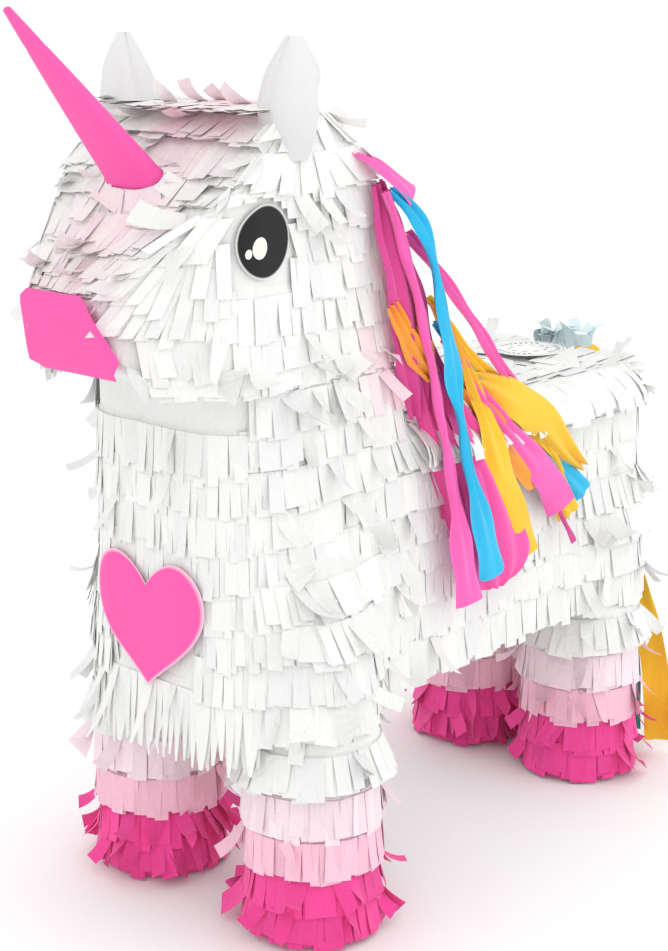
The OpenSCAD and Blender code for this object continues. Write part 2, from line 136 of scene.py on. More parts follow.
class PinataShape(bpy.types.PropertyGroup):
    """Curves of the padded body that the card core leaves to the tissue."""

    chest_r: length_prop("Chest radius", "Radius of the two upright chest corners", 0.048)
    rump_r: length_prop("Rump radius", "Radius of the two upright rump corners", 0.036)
    top_r: length_prop("Back radius", "Radius of the long edges of the back", 0.014)
    rump_bevel: length_prop("Rump bevel", "Height of the bevel along the rump", 0.017)
    cheek_len: length_prop("Cheek length", "From the muzzle to where the cheeks are full", 0.068)
    brow_back: length_prop("Brow", "From the chest line back to the brow", 0.044)
    crown_len: length_prop("Crown", "Length of the flat crown", 0.032)
    poll_len: length_prop("Poll", "Length of the slope behind the crown", 0.038)
    poll_drop: length_prop("Poll drop", "Drop of the slope behind the crown", 0.032)
    jaw_in: length_prop("Jaw", "From the muzzle back to the flat jaw", 0.034)
    chin_in: length_prop("Chin", "From the muzzle back to the chin", 0.011)
    horn_seat: length_prop("Horn seat", "From the muzzle up the forehead to the horn's middle", 0.082)
    horn_len: length_prop("Horn length", "Length of the horn above the forehead", 0.124)
    horn_r: length_prop("Horn half width", "Half the width of the horn at its foot", 0.0205)
    horn_d: length_prop("Horn half depth", "Half the depth of the flattened horn at its foot", 0.0085)


class PinataFringe(bpy.types.PropertyGroup):
    """The rows of cut tissue."""

    pitch: length_prop("Row spacing", "Distance between rows on the body", 0.0215)
    tab_w: length_prop("Tab width", "Width of one cut tab", 0.0084)
    tab_l: length_prop("Tab length", "Length of one cut tab", 0.0245)
    header: length_prop("Header", "Uncut band above the tabs", 0.006)
    thickness: length_prop("Thickness", "Two plies of tissue", 0.00016)
    seed: IntProperty(name="Seed", description="Seed of the hand-cut irregularity", default=7)


class PinataColours(bpy.types.PropertyGroup):
    """Paper colours."""

    white: colour_prop("White", "White tissue", "F3F3F0")
    shade: colour_prop("Shade", "White tissue where it lies double", "E9EAE9")
    blush: colour_prop("Blush", "Pink that shows through the white tissue", "FAD3E0")
    pale_pink: colour_prop("Pale pink", "Upper cuff tissue", "F9E3EA")
    light_pink: colour_prop("Light pink", "Lower cuff tissue", "F8C4D6")
    hot_pink: colour_prop("Hot pink", "Hoof tissue", "F24A9B")
    trim_pink: colour_prop("Trim pink", "Horn, heart and nose paper", "FB5BAC")
    streamer_pink: colour_prop("Streamer pink", "Pink streamers", "F866B8")
    magenta: colour_prop("Magenta", "Dark inside of the mane", "DA4795")
    turquoise: colour_prop("Turquoise", "Turquoise streamers", "28BBE8")
    yellow: colour_prop("Yellow", "Yellow streamers", "F9C72F")
    orange: colour_prop("Orange", "Scrunched orange streamer", "F7A23B")
    teal: colour_prop("Teal", "Teal tail streamers", "25ABA6")
    pale_blue: colour_prop("Pale blue", "Tuft at the root of the tail", "E2F1F4")
    eye: colour_prop("Eye", "Printed eye", "0B0808")
    glint: colour_prop("Glint", "Highlights of the eye", "EDE9DF")
    card: colour_prop("Card", "Kraft card", "C39A66")
    ink: colour_prop("Ink", "Print on the label", "7C8086")


# ---------------------------------------------------------------------------------------------
# Arrays


def unit(v):
    return v / np.maximum(np.linalg.norm(v, axis=-1, keepdims=True), 1e-12)


def smoothstep(a, b, x):
    t = np.clip((x - a) / (b - a), 0, 1)
    return t * t * (3 - 2 * t)


def mix(a, b, t):
    return a + (b - a) * t


def rounded_loop(corners, radii, n_edge=14, n_arc=12):
    """A closed polygon with rounded corners, counter-clockwise: each corner is the arc that touches both
    its edges, and the stretches between arcs are straight. corners is (..., n, 2), radii (..., n)."""
    to_last = unit(np.roll(corners, 1, -2) - corners)
    to_next = unit(np.roll(corners, -1, -2) - corners)
    half = 0.5 * np.arccos(np.clip((to_last * to_next).sum(-1), -0.9999, 0.9999))
    edge = np.linalg.norm(np.roll(corners, -1, -2) - corners, axis=-1)
    room = 0.48 * np.minimum(edge, np.roll(edge, 1, -1))
    cut = np.minimum(radii / np.tan(half), room)
    radius = cut * np.tan(half)
    centre = corners + unit(to_last + to_next) * (radius / np.sin(half))[..., None]
    start = corners + to_last * cut[..., None]
    end = corners + to_next * cut[..., None]
    t = np.linspace(0, 1, n_arc)[:, None]
    spoke = mix((start - centre)[..., None, :], (end - centre)[..., None, :], t)
    arc = centre[..., None, :] + unit(spoke) * radius[..., None, None]
    t = (np.arange(1, n_edge + 1) / (n_edge + 1))[:, None]
    line = mix(end[..., None, :], np.roll(start, -1, -2)[..., None, :], t)
    loop = np.concatenate([arc, line], -2)
    return loop.reshape(*loop.shape[:-3], -1, 2)


def soften(values, axis, passes):
    """Averages neighbours along an axis, ends held, as many times as asked."""
    values = np.moveaxis(values, axis, 0).copy()
    for _ in range(passes):
        values[1:-1] = 0.25 * values[:-2] + 0.5 * values[1:-1] + 0.25 * values[2:]
    return np.moveaxis(values, 0, axis)


class Skin:
    """A surface given as closed rings from top to bottom, with its directions: along the ring (counter-
    clockwise from above), down the surface and outwards."""

    def __init__(self, points):
        self.p = points
        self.t = unit(np.roll(points, -1, 1) - np.roll(points, 1, 1))
        self.d = unit(np.gradient(points, axis=0))
        self.n = unit(np.cross(self.d, self.t))

    def ring(self, z):
        """The ring at height z as points, along, down and out, interpolated between its two neighbours."""
        heights = self.p[:, 0, 2]
        i = np.interp(-z, -heights, np.arange(len(heights)))
        a = int(min(i, len(heights) - 2))
        return [mix(g[a], g[a + 1], i - a) for g in (self.p, self.t, self.d, self.n)]


def close(values, closed):
    return np.vstack([values, values[:1]]) if closed else values


def travelled(ring, closed):
    """Distance along a ring at each of its points, the first again at the end if it is closed."""
    step = np.linalg.norm(np.diff(close(ring[0], closed), axis=0), axis=1)
    return np.concatenate([[0], np.cumsum(step)])


def along_ring(ring, s, closed=True):
    """A ring's points and directions at distances s along it, in metres from its start."""
    where = travelled(ring, closed)
    s = np.mod(s, where[-1]) if closed else np.clip(s, 0, where[-1])
    out = []
    for values in ring:
        values = close(values, closed)
        out.append(np.stack([np.interp(s, where, values[:, k]) for k in range(3)], -1))
    return [out[0]] + [unit(v) for v in out[1:]]


def body_shape():
    return bpy.context.scene.pinata_shape


def front_y(z):
    """Front of the head at height z: chin, nose, then the slope of the forehead."""
    s = body_shape()
    brow = CHEST_Y + s.brow_back
    heights = [JAW_Z, NOSE_LOW, NOSE_TOP, CROWN_Z - 0.003, CROWN_Z]
    ys = [MUZZLE_Y + s.jaw_in, MUZZLE_Y + s.chin_in, MUZZLE_Y, brow, brow + 0.008]
    return np.interp(z, heights, ys)


def rear_y(z):
    """Back of the head and neck at height z: the nape's slope, then the poll's."""
    s = body_shape()
    crown = CHEST_Y + s.brow_back + s.crown_len
    heights = [BACK_Z, CROWN_Z - s.poll_drop, CROWN_Z]
    return np.interp(z, heights, [WITHERS_Y, crown + s.poll_len, crown])


def corner_rows(*corners):
    """Corners given as pairs of arrays, one value per ring, as (rings, corners, 2)."""
    return np.stack([np.stack(corner, -1) for corner in corners], 1)


def head_skin(inset=0.0):
    """Rings of the head: a six-cornered plan whose cheeks narrow towards the muzzle, rounded at its
    corners, cut off by the forehead in front and by the poll and nape behind."""
    s = body_shape()
    z = np.linspace(CROWN_Z, JAW_Z, 77)
    yf, yr = front_y(z), rear_y(z)
    cheek = MUZZLE_Y + s.cheek_len
    wide = HALF_W - 0.003 * smoothstep(CROWN_Z - 0.020, CROWN_Z, z)
    slope = (HALF_W - NOSE_W) / s.cheek_len
    nose = np.minimum(NOSE_W + (yf - MUZZLE_Y) * slope, wide - 0.001)
    side = np.maximum(cheek, yf + 0.004)
    corners = corner_rows((wide, yr), (-wide, yr), (-wide, side), (-nose, yf), (nose, yf), (wide, side))
    radii = np.tile([0.010, 0.010, 0.050, 0.005, 0.005, 0.050], (len(z), 1))
    loop = rounded_loop(corners, radii)
    points = np.concatenate([loop, np.broadcast_to(z[:, None, None], loop.shape[:2] + (1,))], -1)
    points = soften(points, 0, 6)
    skin = Skin(points)
    return Skin(skin.p - skin.n * inset) if inset else skin


def leg_swell(points, normals):
    """How far the body's tissue is pushed out along its normals to run down over the top of each leg tube:
    the distance to the far side of the leg's circle, faded in over the shoulder's height."""
    out = np.zeros(points.shape[:2])
    over = HOOF_R + 0.0035
    for centre in LEGS.values():
        flat = normals[..., :2]
        to = centre - points[..., :2]
        ahead = (to * flat).sum(-1)
        off2 = (to**2).sum(-1) - ahead**2
        reach = ahead + np.sqrt(np.maximum(over**2 - off2, 0))
        reach = np.where(off2 < over**2, np.maximum(reach, 0), 0)
        fade = 1 - smoothstep(BELLY_Z + 0.038, BELLY_Z + 0.110, points[..., 2])
        out = np.maximum(out, reach * fade)
    out = np.concatenate([out, out, out], 1)
    out = soften(out, 1, 14)
    third = points.shape[1]
    return soften(out[:, third : 2 * third], 0, 4)


def body_skin(z_top, z_low, inset=0.0):
    """Rings of the neck and body: a rectangle with round chest and rump corners, drawn in along the top
    edge of the back, and swollen over the legs."""
    s = body_shape()
    n = max(8, int((z_top - z_low) / 0.002))
    z = np.linspace(z_top, z_low, n)
    neck = z > BACK_Z + 1e-6
    into = np.clip((s.top_r - (BACK_Z - z)) / s.top_r, 0, 1)
    edge = np.where(neck, 0, s.top_r * (1 - np.sqrt(np.maximum(1 - into**2, 0))))
    wide = HALF_W + 0 * z
    bevel = np.clip(z - (BACK_Z - s.rump_bevel), 0, None)
    yr = np.where(neck, rear_y(z), RUMP_Y - bevel)
    yc = CHEST_Y + 0 * z
    corners = corner_rows((wide, yr), (-wide, yr), (-wide, yc), (wide, yc))
    back_r = np.where(neck, 0.012, s.rump_r)
    radii = np.stack([back_r, back_r, s.chest_r + 0 * z, s.chest_r + 0 * z], -1)
    loop = rounded_loop(corners, radii, n_edge=44, n_arc=16)
    behind = smoothstep(WITHERS_Y - 0.020, WITHERS_Y + 0.010, loop[..., 1])
    loop[..., 0] *= 1 - behind * (edge / HALF_W)[:, None]
    points = np.concatenate([loop, np.broadcast_to(z[:, None, None], loop.shape[:2] + (1,))], -1)
    skin = Skin(points)
    flat = unit(skin.n * [1, 1, 0])
    points = points + flat * leg_swell(points, flat)[..., None]
    skin = Skin(points)
    return Skin(skin.p - skin.n * inset) if inset else skin


def leg_skin(centre, z_top, z_low, radius):
    """Rings of a leg: circles about its axis, a little fuller towards the ground and tucked in where they
    enter the body."""
    z = np.linspace(z_top, z_low, 40)
    a = np.linspace(0, 2 * math.pi, 72, endpoint=False)
    fuller = 1 + 0.02 * smoothstep(0.06, 0.0, z)
    tucked = 0.006 * smoothstep(BELLY_Z - 0.022, BELLY_Z, z)
    r = (radius * fuller - tucked)[:, None]
    x = centre[0] + r * np.cos(a)
    y = centre[1] + r * np.sin(a)
    return Skin(np.stack([x, y, np.broadcast_to(z[:, None], x.shape)], -1))


# ---------------------------------------------------------------------------------------------
# Meshes


def grid_quads(rows, cols, wrap=False):
    """Quads of a grid of rows x cols vertices; with wrap, the last column joins the first."""
    i = np.arange(rows - 1)[:, None]
    j = np.arange(cols if wrap else cols - 1)[None, :]
    k = (j + 1) % cols
    return np.stack([i * cols + j, (i + 1) * cols + j, (i + 1) * cols + k, i * cols + k], -1).reshape(-1, 4)


class Heap:
    """Vertices, quads and paint gathered from many small grids before they become one mesh."""

    def __init__(self):
        self.v, self.q, self.c, self.count = [], [], [], 0

    def add(self, points, quads, paint):
        points = points.reshape(-1, 3)
        self.v.append(points)
        self.q.append(quads + self.count)
        self.c.append(np.broadcast_to(paint, points.shape).reshape(-1, 3))
        self.count += len(points)

    def coat(self, points, quads, paint, tone):
        """Adds a grid whose colours a paint function gives for one tone."""
        points = points.reshape(-1, 3)
        self.add(points, quads, paint(points, np.full((len(points), 1), tone)))

    def strips(self, points, paint):
        """points is (strips, steps, 2, 3): each strip is a ladder of quads."""
        n, steps = points.shape[:2]
        ladder = grid_quads(steps, 2)
        quads = (np.arange(n)[:, None, None] * steps * 2 + ladder[None]).reshape(-1, 4)
        colour = np.broadcast_to(np.asarray(paint)[:, None, None, :], points.shape)
        self.add(points, quads, colour.reshape(-1, 3))


def placed(name, data):
    """A new object in the scene."""
    obj = bpy.data.objects.new(name, data)
    bpy.context.scene.collection.objects.link(obj)
    return obj


def build(name, verts, quads, material, body, paint, replaces, thick):
    """One object from arrays of vertices and quads, with its paint (one colour or one for each vertex),
    ridden on a body. Faces shade smoothly into each other, but not round the cut edges of the paper."""
    mesh = bpy.data.meshes.new(name)
    quads = np.asarray(quads, np.int32)
    mesh.vertices.add(len(verts))
    mesh.vertices.foreach_set("co", np.asarray(verts, np.float32).ravel())
    mesh.loops.add(quads.size)
    mesh.loops.foreach_set("vertex_index", quads.ravel())
    mesh.polygons.add(len(quads))
    mesh.polygons.foreach_set("loop_start", np.arange(0, quads.size, 4, dtype=np.int32))
    mesh.update(calc_edges=True)
    mesh.validate()
    mesh.polygons.foreach_set("use_smooth", np.ones(len(mesh.polygons), bool))
    edges = np.zeros(len(mesh.loops), np.int32)
    mesh.loops.foreach_get("edge_index", edges)
    cut = np.bincount(edges, minlength=len(mesh.edges)) == 1
    mesh.attributes.new("sharp_edge", "BOOLEAN", "EDGE").data.foreach_set("value", cut)
    rgba = np.concatenate([np.broadcast_to(paint, (len(verts), 3)), np.ones((len(verts), 1))], 1)
    layer = mesh.color_attributes.new("paint", "FLOAT_COLOR", "POINT")
    layer.data.foreach_set("color", rgba.astype(np.float32).ravel())
    obj = placed(name, mesh)
    mesh.materials.append(material)
    wall = obj.modifiers.new("Paper", "SOLIDIFY")
    wall.thickness = thick
    wall.offset = 0
    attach(obj, body)
    if replaces:
        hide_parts(*replaces)
    return obj


def surface(
    name, points, material, paint, replaces=(), body="root", thick=SHEET, wrap=False, flip=False
):
    """One object from one grid of points."""
    quads = grid_quads(*points.shape[:2], wrap=wrap)
    if flip:
        quads = quads[:, ::-1]
    return build(name, points.reshape(-1, 3), quads, material, body, paint, replaces, thick)


def kept_narrow(verts):
    """Draws in the tips that stand out sideways by three quarters of what they pass the object's sides by."""
    reach = CAD_BOX[1][0] + 0.011
    over = np.clip(np.abs(verts[:, 0]) - reach, 0, None)
    return np.column_stack([verts[:, 0] - 0.75 * np.sign(verts[:, 0]) * over, verts[:, 1:]])


def heap_object(heap, name, material, body="root", replaces=()):
    """One object of thin tissue from all that a heap holds."""
    thick = bpy.context.scene.pinata_fringe.thickness
    verts, quads, paint = (np.concatenate(part) for part in (heap.v, heap.q, heap.c))
    return build(name, kept_narrow(verts), quads, material, body, paint, replaces, thick)


# ---------------------------------------------------------------------------------------------
# Tissue rows


def cut_tabs(base, along, down, out, width, length, lift, curl, twist, slant, point=0.0, steps=6):
    """Bent strips of paper. The centre line leaves its root at the angle lift from the surface and turns
    outwards by curl over its length; slant swings it sideways in the surface, twist turns its width
    about the centre line, and point is the share of the width that is lost by the tip. All but point and
    steps hold one value per tab. Returns (tabs, steps, 2, 3)."""
    f = np.linspace(0, 1, steps)[None, :, None]
    col = lambda a: np.asarray(a)[:, None, None]
    angle = col(lift) + col(curl) * f**1.5
    step = col(length) / (steps - 1)
    mid = 0.5 * (angle[:, 1:] + angle[:, :-1])
    run = np.concatenate([0 * angle[:, :1], np.cumsum(np.cos(mid) * step, 1)], 1)
    rise = np.concatenate([0 * angle[:, :1], np.cumsum(np.sin(mid) * step, 1)], 1)
    d = down[:, None] * np.cos(col(slant)) + along[:, None] * np.sin(col(slant))
    t = along[:, None] * np.cos(col(slant)) - down[:, None] * np.sin(col(slant))
    n = out[:, None]
    centre = base[:, None] + d * run + n * rise
    face = np.cos(angle) * n - np.sin(angle) * d
    turn = col(twist) * f
    across = np.cos(turn) * t + np.sin(turn) * face
    half = 0.5 * col(width) * (1 - point * f**2)
    return np.stack([centre - across * half, centre + across * half], 2)


NEAT = dict(lift=0.028, curl=0.02, wild=0.04, uncut=0.10)
LOOSE = dict(lift=0.034, curl=0.04, wild=0.09, uncut=0.22)
MESSY = dict(lift=0.080, curl=0.12, wild=0.26, uncut=0.15)
CALM = dict(lift=0.020, curl=0.0, wild=0.0, uncut=0.15)
EDGE = dict(lift=-0.12, curl=-1.05, wild=0.0, uncut=0.20)


def tissue_row(
    heap, rng, ring, paint, look,
    keep=None, room=None, tab_w=None, tab_l=None, header=None, closed=True, point=0.0,
):
    """One row: an uncut header band that follows the ring, then tabs cut side by side, several plies deep.
    look holds the shares and angles of the curled tabs, keep says which points of the row stay, and room
    how far down the surface the tissue may reach from each of them."""
    f = bpy.context.scene.pinata_fringe
    tab_w = tab_w or f.tab_w
    tab_l = tab_l or f.tab_l
    header = header or f.header
    total = travelled(ring, closed)[-1]
    count = max(3, int(round(total / tab_w)))
    s = (np.arange(count) + 0.5 + rng.uniform(-0.12, 0.12, count)) * total / count
    for ply in range(PLIES):
        p, t, d, n = along_ring(ring, s + ply * 0.45 * tab_w, closed)
        ok = np.ones(count, bool) if keep is None else keep(p)
        p, t, d, n = p[ok], t[ok], d[ok], n[ok]
        m = len(p)
        if not m:
            continue
        wild = (rng.random(m) < look["wild"]) & ~under_mane(p)
        gauss = rng.normal(size=(6, m))
        up = look["lift"] + 0.02 * ply + 0.025 * gauss[0] + np.where(wild, rng.uniform(0.1, 0.5, m), 0)
        curl = look["curl"] + 0.06 * gauss[1] + np.where(wild, rng.uniform(0.0, 1.1, m), 0)
        twist = 0.08 * gauss[2] + np.where(wild, 0.8 * gauss[3], 0)
        sway = 0.035 * gauss[4] + np.where(wild, 0.30 * gauss[5], 0)
        length = tab_l * (1 + rng.uniform(-0.12, 0.10, m)) * (0.94 if ply else 1)
        if room is not None:
            length = np.minimum(length, room(p) - header)
        width = total / count * np.where(rng.random(m) < look["uncut"], 2.0, rng.uniform(1.00, 1.12, m))
        stays = length > 0.004
        base = p + d * (header - 0.001) + n * (0.0005 + 0.0005 * ply)
        tone = rng.uniform(-1, 1, m)[:, None]
        tabs = cut_tabs(base, t, d, n, width, np.maximum(length, 0.001), up, curl, twist, sway, point)
        heap.strips(tabs[stays], paint(p, tone)[stays])
    band_count = max(8, int(total / 0.006))
    p, t, d, n = along_ring(ring, np.linspace(0, total, band_count + 1)[: band_count + (not closed)], closed)
    ok = np.ones(len(p), bool) if keep is None else keep(p)
    if room is not None:
        ok &= room(p) > header
    wave = (0.0006 + 0.0002 * np.sin(np.arange(len(p)) * 1.7))[:, None]
    rows = np.stack([p - n * 0.0011, p + d * (header + 0.001) + n * (wave + 0.0004)])
    quads = grid_quads(2, len(p), wrap=closed)
    both = (ok & np.roll(ok, -1))[: len(quads)]
    heap.add(rows, quads[both], np.concatenate([paint(p, np.zeros((len(p), 1)))] * 2))


def flat_row(x, y, z, along, down, out):
    """An open row whose directions are the same at each of its points."""
    p = np.stack(np.broadcast_arrays(x, y, z), -1)
    return [p] + [np.tile(unit(np.array(v)), (len(p), 1)) for v in (along, down, out)]


def white_paint(p, tone):
    """White tissue that shades a little from tab to tab, with pink showing through round the horn, the
    muzzle, the crown and the upper mane."""
    c = bpy.context.scene.pinata_colours
    white, shade, blush = (np.array(v) for v in (c.white, c.shade, c.blush))
    colour = mix(white, shade, 0.5 + 0.5 * tone)
    spots = (
        (horn_frame()[0], 0.060, 0.38),
        ([0, MUZZLE_Y + 0.025, NOSE_TOP + 0.004], 0.055, 0.45),
        ([0.02, CHEST_Y + 0.060, CROWN_Z], 0.055, 0.5),
        ([HALF_W, WITHERS_Y - 0.015, BACK_Z + 0.060], 0.050, 0.85),
    )
    pink = np.zeros((len(p), 1))
    for centre, reach, strength in spots:
        far = np.linalg.norm(p - centre, axis=1, keepdims=True)
        pink = np.maximum(pink, strength * (1 - smoothstep(0.35 * reach, reach, far)))
    return mix(colour, blush, np.clip(pink * (0.75 + 0.5 * tone), 0, 1))


def plain_paint(colour, spread=0.06):
    base = np.array(colour)
    return lambda p, tone: np.clip(base * (1 + spread * tone), 0, 1) + 0 * p


def horn_frame():
    """Middle of the horn's foot on the forehead, the direction up the forehead and the horn's own axis."""
    shape = body_shape()
    slope = unit(np.array([0, CHEST_Y + shape.brow_back - MUZZLE_Y, CROWN_Z - 0.003 - NOSE_TOP]))
    foot = np.array([0, MUZZLE_Y, NOSE_TOP]) + slope * shape.horn_seat
    return foot, slope, np.array([0, -slope[2], slope[1]])


def head_room(p):
    """How far down from each point a head tab may reach: to the rim of the eye, the top of the nose patch
    or the upper side of the horn's foot."""
    room = np.full(len(p), 1.0)
    eye = middle("left_eye")
    dy = np.clip(np.abs(p[:, 1] - eye[1] - 0.003) / 0.0225, 0, 1)
    top = eye[2] + 0.0215 * np.sqrt(1 - dy**2)
    beside = (dy < 1) & (np.abs(p[:, 0]) > 0.6 * HALF_W)
    above = np.where(p[:, 2] > top, p[:, 2] - top, 0)
    room = np.where(beside & (p[:, 2] > eye[2] - 0.019), above, room)
    front = (np.abs(p[:, 0]) < NOSE_W + 0.011) & (p[:, 1] < MUZZLE_Y + 0.055) & (p[:, 2] > NOSE_LOW - 0.002)
    room = np.where(front, np.minimum(room, np.clip((p[:, 2] - NOSE_TOP) * 1.4 + 0.002, 0, 1)), room)
    foot, slope, _ = horn_frame()
    up = (p - foot) @ slope
    over = (np.abs(p[:, 0]) < 0.020) & (p[:, 1] < foot[1] + 0.08) & (up > -0.009)
    return np.where(over, np.minimum(room, np.clip(up - 0.006, 0, 1)), room)


def under_mane(p):
    """Where the streamers lie on the near side, so no tab may stand up through them: behind a line that
    runs back as it goes down from the poll."""
    poll_y, poll_z, runs_back = -0.075, 0.44, 0.32
    front = poll_y + (poll_z - p[:, 2]) * runs_back
    return (p[:, 0] > 0.6 * HALF_W) & (p[:, 2] > 0.16) & (p[:, 1] > front) & (p[:, 1] < 0.150)


def outside_heart(p):
    """Where the rows of the chest lie outside an ellipse a little smaller than the heart."""
    mid = middle("heart_patch")
    near = np.hypot(p[:, 0] / 0.040, (p[:, 2] - mid[2] - 0.008) / 0.036) < 1.0
    return ~(near & (p[:, 1] < mid[1] + 0.02))


def is_chest(p):
    """Where a row belongs to the front of the chest and not to the flanks."""
    return p[:, 1] < CHEST_Y + 0.020


def skin_grid(skin, cap_top, cap_low):
    """A skin's rings as one grid, with caps that shrink the end rings to their middles."""
    p = skin.p
    top = [mix(p[0], p[0].mean(0), f) for f in (1.0, 0.66, 0.33)] if cap_top else []
    bottom = [mix(p[-1], p[-1].mean(0), f) for f in (0.33, 0.66, 1.0)] if cap_low else []
    rings = np.stack(top + list(p) + bottom)
    return rings, grid_quads(*rings.shape[:2], wrap=True)


class Relief:
    """One face of a skin as a height over a plane, kept as a table: x over (y, z) on a flank, or y over
    (x, z) on the chest. place() gives points lifted off it along its normal."""

    def __init__(self, skin, axis, sign, reach):
        self.axis, self.sign = axis, sign
        rows = skin.p[::-1]
        self.z = rows[:, 0, 2]
        self.u = np.linspace(*reach, 90)
        side = sign * rows[..., axis] > sign * rows[..., axis].mean(1, keepdims=True)
        table = []
        for row, mine in zip(rows, side):
            order = np.argsort(row[mine][:, 1 - axis])
            table.append(np.interp(self.u, row[mine][order, 1 - axis], row[mine][order, axis]))
        self.table = np.array(table)

    def height(self, u, z):
        i = np.interp(z, self.z, np.arange(len(self.z)))
        j = np.interp(u, self.u, np.arange(len(self.u)))
        a = np.minimum(i.astype(int), len(self.z) - 2)
        b = np.minimum(j.astype(int), len(self.u) - 2)
        low_row = mix(self.table[a, b], self.table[a, b + 1], j - b)
        return mix(low_row, mix(self.table[a + 1, b], self.table[a + 1, b + 1], j - b), i - a)

    def place(self, u, z, lift):
        e = 0.003
        point, normal = np.zeros(u.shape + (3,)), np.zeros(u.shape + (3,))
        point[..., self.axis], point[..., 1 - self.axis], point[..., 2] = self.height(u, z), u, z
        normal[..., self.axis] = 1
        normal[..., 1 - self.axis] = -(self.height(u + e, z) - self.height(u - e, z)) / (2 * e)
        normal[..., 2] = -(self.height(u, z + e) - self.height(u, z - e)) / (2 * e)
        return point + self.sign * unit(normal) * np.asarray(lift)[..., None]


def disc(outline, centre, rings):
    """A grid of rings from a centre out to a closed outline, (rings, n, 2), with its share of the way out."""
    f = np.linspace(0, 1, rings)[:, None, None]
    return mix(np.asarray(centre), outline[None], f), np.broadcast_to(f[..., 0], (rings, len(outline)))


# ---------------------------------------------------------------------------------------------
# Materials


def add(tree, kind, settings=None, values=None, links=None):
    """Adds a shader node with its settings, input values and the sockets that feed it."""
    node = tree.nodes.new("ShaderNode" + kind)
    for key, value in (settings or {}).items():
        setattr(node, key, value)
    for key, value in (values or {}).items():
        node.inputs[key].default_value = value
    for key, source in (links or {}).items():
        tree.links.new(source, node.inputs[key])
    return node


def new_material(name, roughness):
    """A material with its node tree and its surface node."""
    material = bpy.data.materials.new(name)
    material.use_nodes = True
    shader = material.node_tree.nodes["Principled BSDF"]
    shader.inputs["Roughness"].default_value = roughness
    return material, material.node_tree, shader


def paper(
    name, roughness, fibre_mm, crinkle_mm, depth_mm, stretch=(1, 1, 1), shade=0.06, sheen=0.0, crease=0.0
):
    """Paper whose colour comes from the piece's paint: pale fibres of fibre_mm vary it by shade, and
    crinkles of crinkle_mm, drawn out by stretch, dent it by depth_mm. crease adds sharp folds to the
    dents."""
    material = bpy.data.materials.get(name)
    if material:
        return material
    material, tree, shader = new_material(name, roughness)
    shader.inputs["Sheen Weight"].default_value = sheen
    shader.inputs["Specular IOR Level"].default_value = 0.35
    where = add(tree, "TexCoord")
    scaled = add(tree, "Mapping", values={"Scale": stretch}, links={"Vector": where.outputs["Object"]})
    drawn_out = {"Vector": scaled.outputs["Vector"]}
    grain = {"Scale": 1 / (fibre_mm * MM), "Detail": 4.0, "Roughness": 0.65}
    fibre = add(tree, "TexNoise", values=grain, links=drawn_out)
    dents = {"Scale": 1 / (crinkle_mm * MM), "Detail": 5.0, "Roughness": 0.55, "Distortion": 0.6}
    crinkle = add(tree, "TexNoise", values=dents, links=drawn_out)
    paint = add(tree, "VertexColor", settings={"layer_name": "paint"})
    span = {"From Min": 0.3, "From Max": 0.7, "To Min": 1 - shade, "To Max": 1 + 0.3 * shade}
    tone = add(tree, "MapRange", values=span, links={"Value": fibre.outputs["Fac"]})
    factors = {0: paint.outputs["Color"], "Scale": tone.outputs["Result"]}
    tinted = add(tree, "VectorMath", settings={"operation": "SCALE"}, links=factors)
    tree.links.new(tinted.outputs["Vector"], shader.inputs["Base Color"])
    height = crinkle.outputs["Fac"]
    if crease:
        edges, cell = {"feature": "DISTANCE_TO_EDGE"}, {"Scale": 0.4 / (crinkle_mm * MM)}
        folds = add(tree, "TexVoronoi", settings=edges, values=cell, links=drawn_out)
        ridge = {"From Max": 0.12, "To Max": crease}
        sharp = add(tree, "MapRange", values=ridge, links={"Value": folds.outputs["Distance"]})
        heights = {0: height, 1: sharp.outputs["Result"]}
        height = add(tree, "Math", settings={"operation": "ADD"}, links=heights).outputs["Value"]
    bump = add(tree, "Bump", values={"Strength": 0.8, "Distance": depth_mm * MM}, links={"Height": height})
    tree.links.new(bump.outputs["Normal"], shader.inputs["Normal"])
    return material


def tissue():
    """Soft matt tissue: the crinkles give the faint grey mottling that cut fringe shows."""
    return paper(
        "white_tissue_paper", 0.92, 0.9, 5.0, 1.1, stretch=(1, 1, 0.45), shade=0.035, sheen=0.15, crease=0.25
    )


def coloured_tissue():
    """Dyed tissue: like the white, with a stronger mottling where it lies double."""
    return paper(
        "dyed_tissue_paper", 0.88, 0.9, 5.0, 0.9, stretch=(1, 1, 0.45), shade=0.08, sheen=0.2, crease=0.2
    )


def streamer():
    """Crepe streamer: long soft wrinkles and a fine dry grain that catch the light along the strip."""
    return paper("crepe_streamer_paper", 0.72, 0.35, 7.0, 0.8, stretch=(1, 1, 0.25), shade=0.07, sheen=0.25)


def cover_paper():
    """Smooth coloured cover paper: nearly even, with a faint wave that shows as a soft change of tone."""
    return paper("coloured_cover_paper", 0.62, 0.25, 22.0, 0.9, shade=0.035)


def sticker():
    """Satin printed sticker: a weak gloss and almost no relief."""
    return paper("satin_sticker_paper", 0.38, 0.2, 14.0, 0.15, shade=0.02)


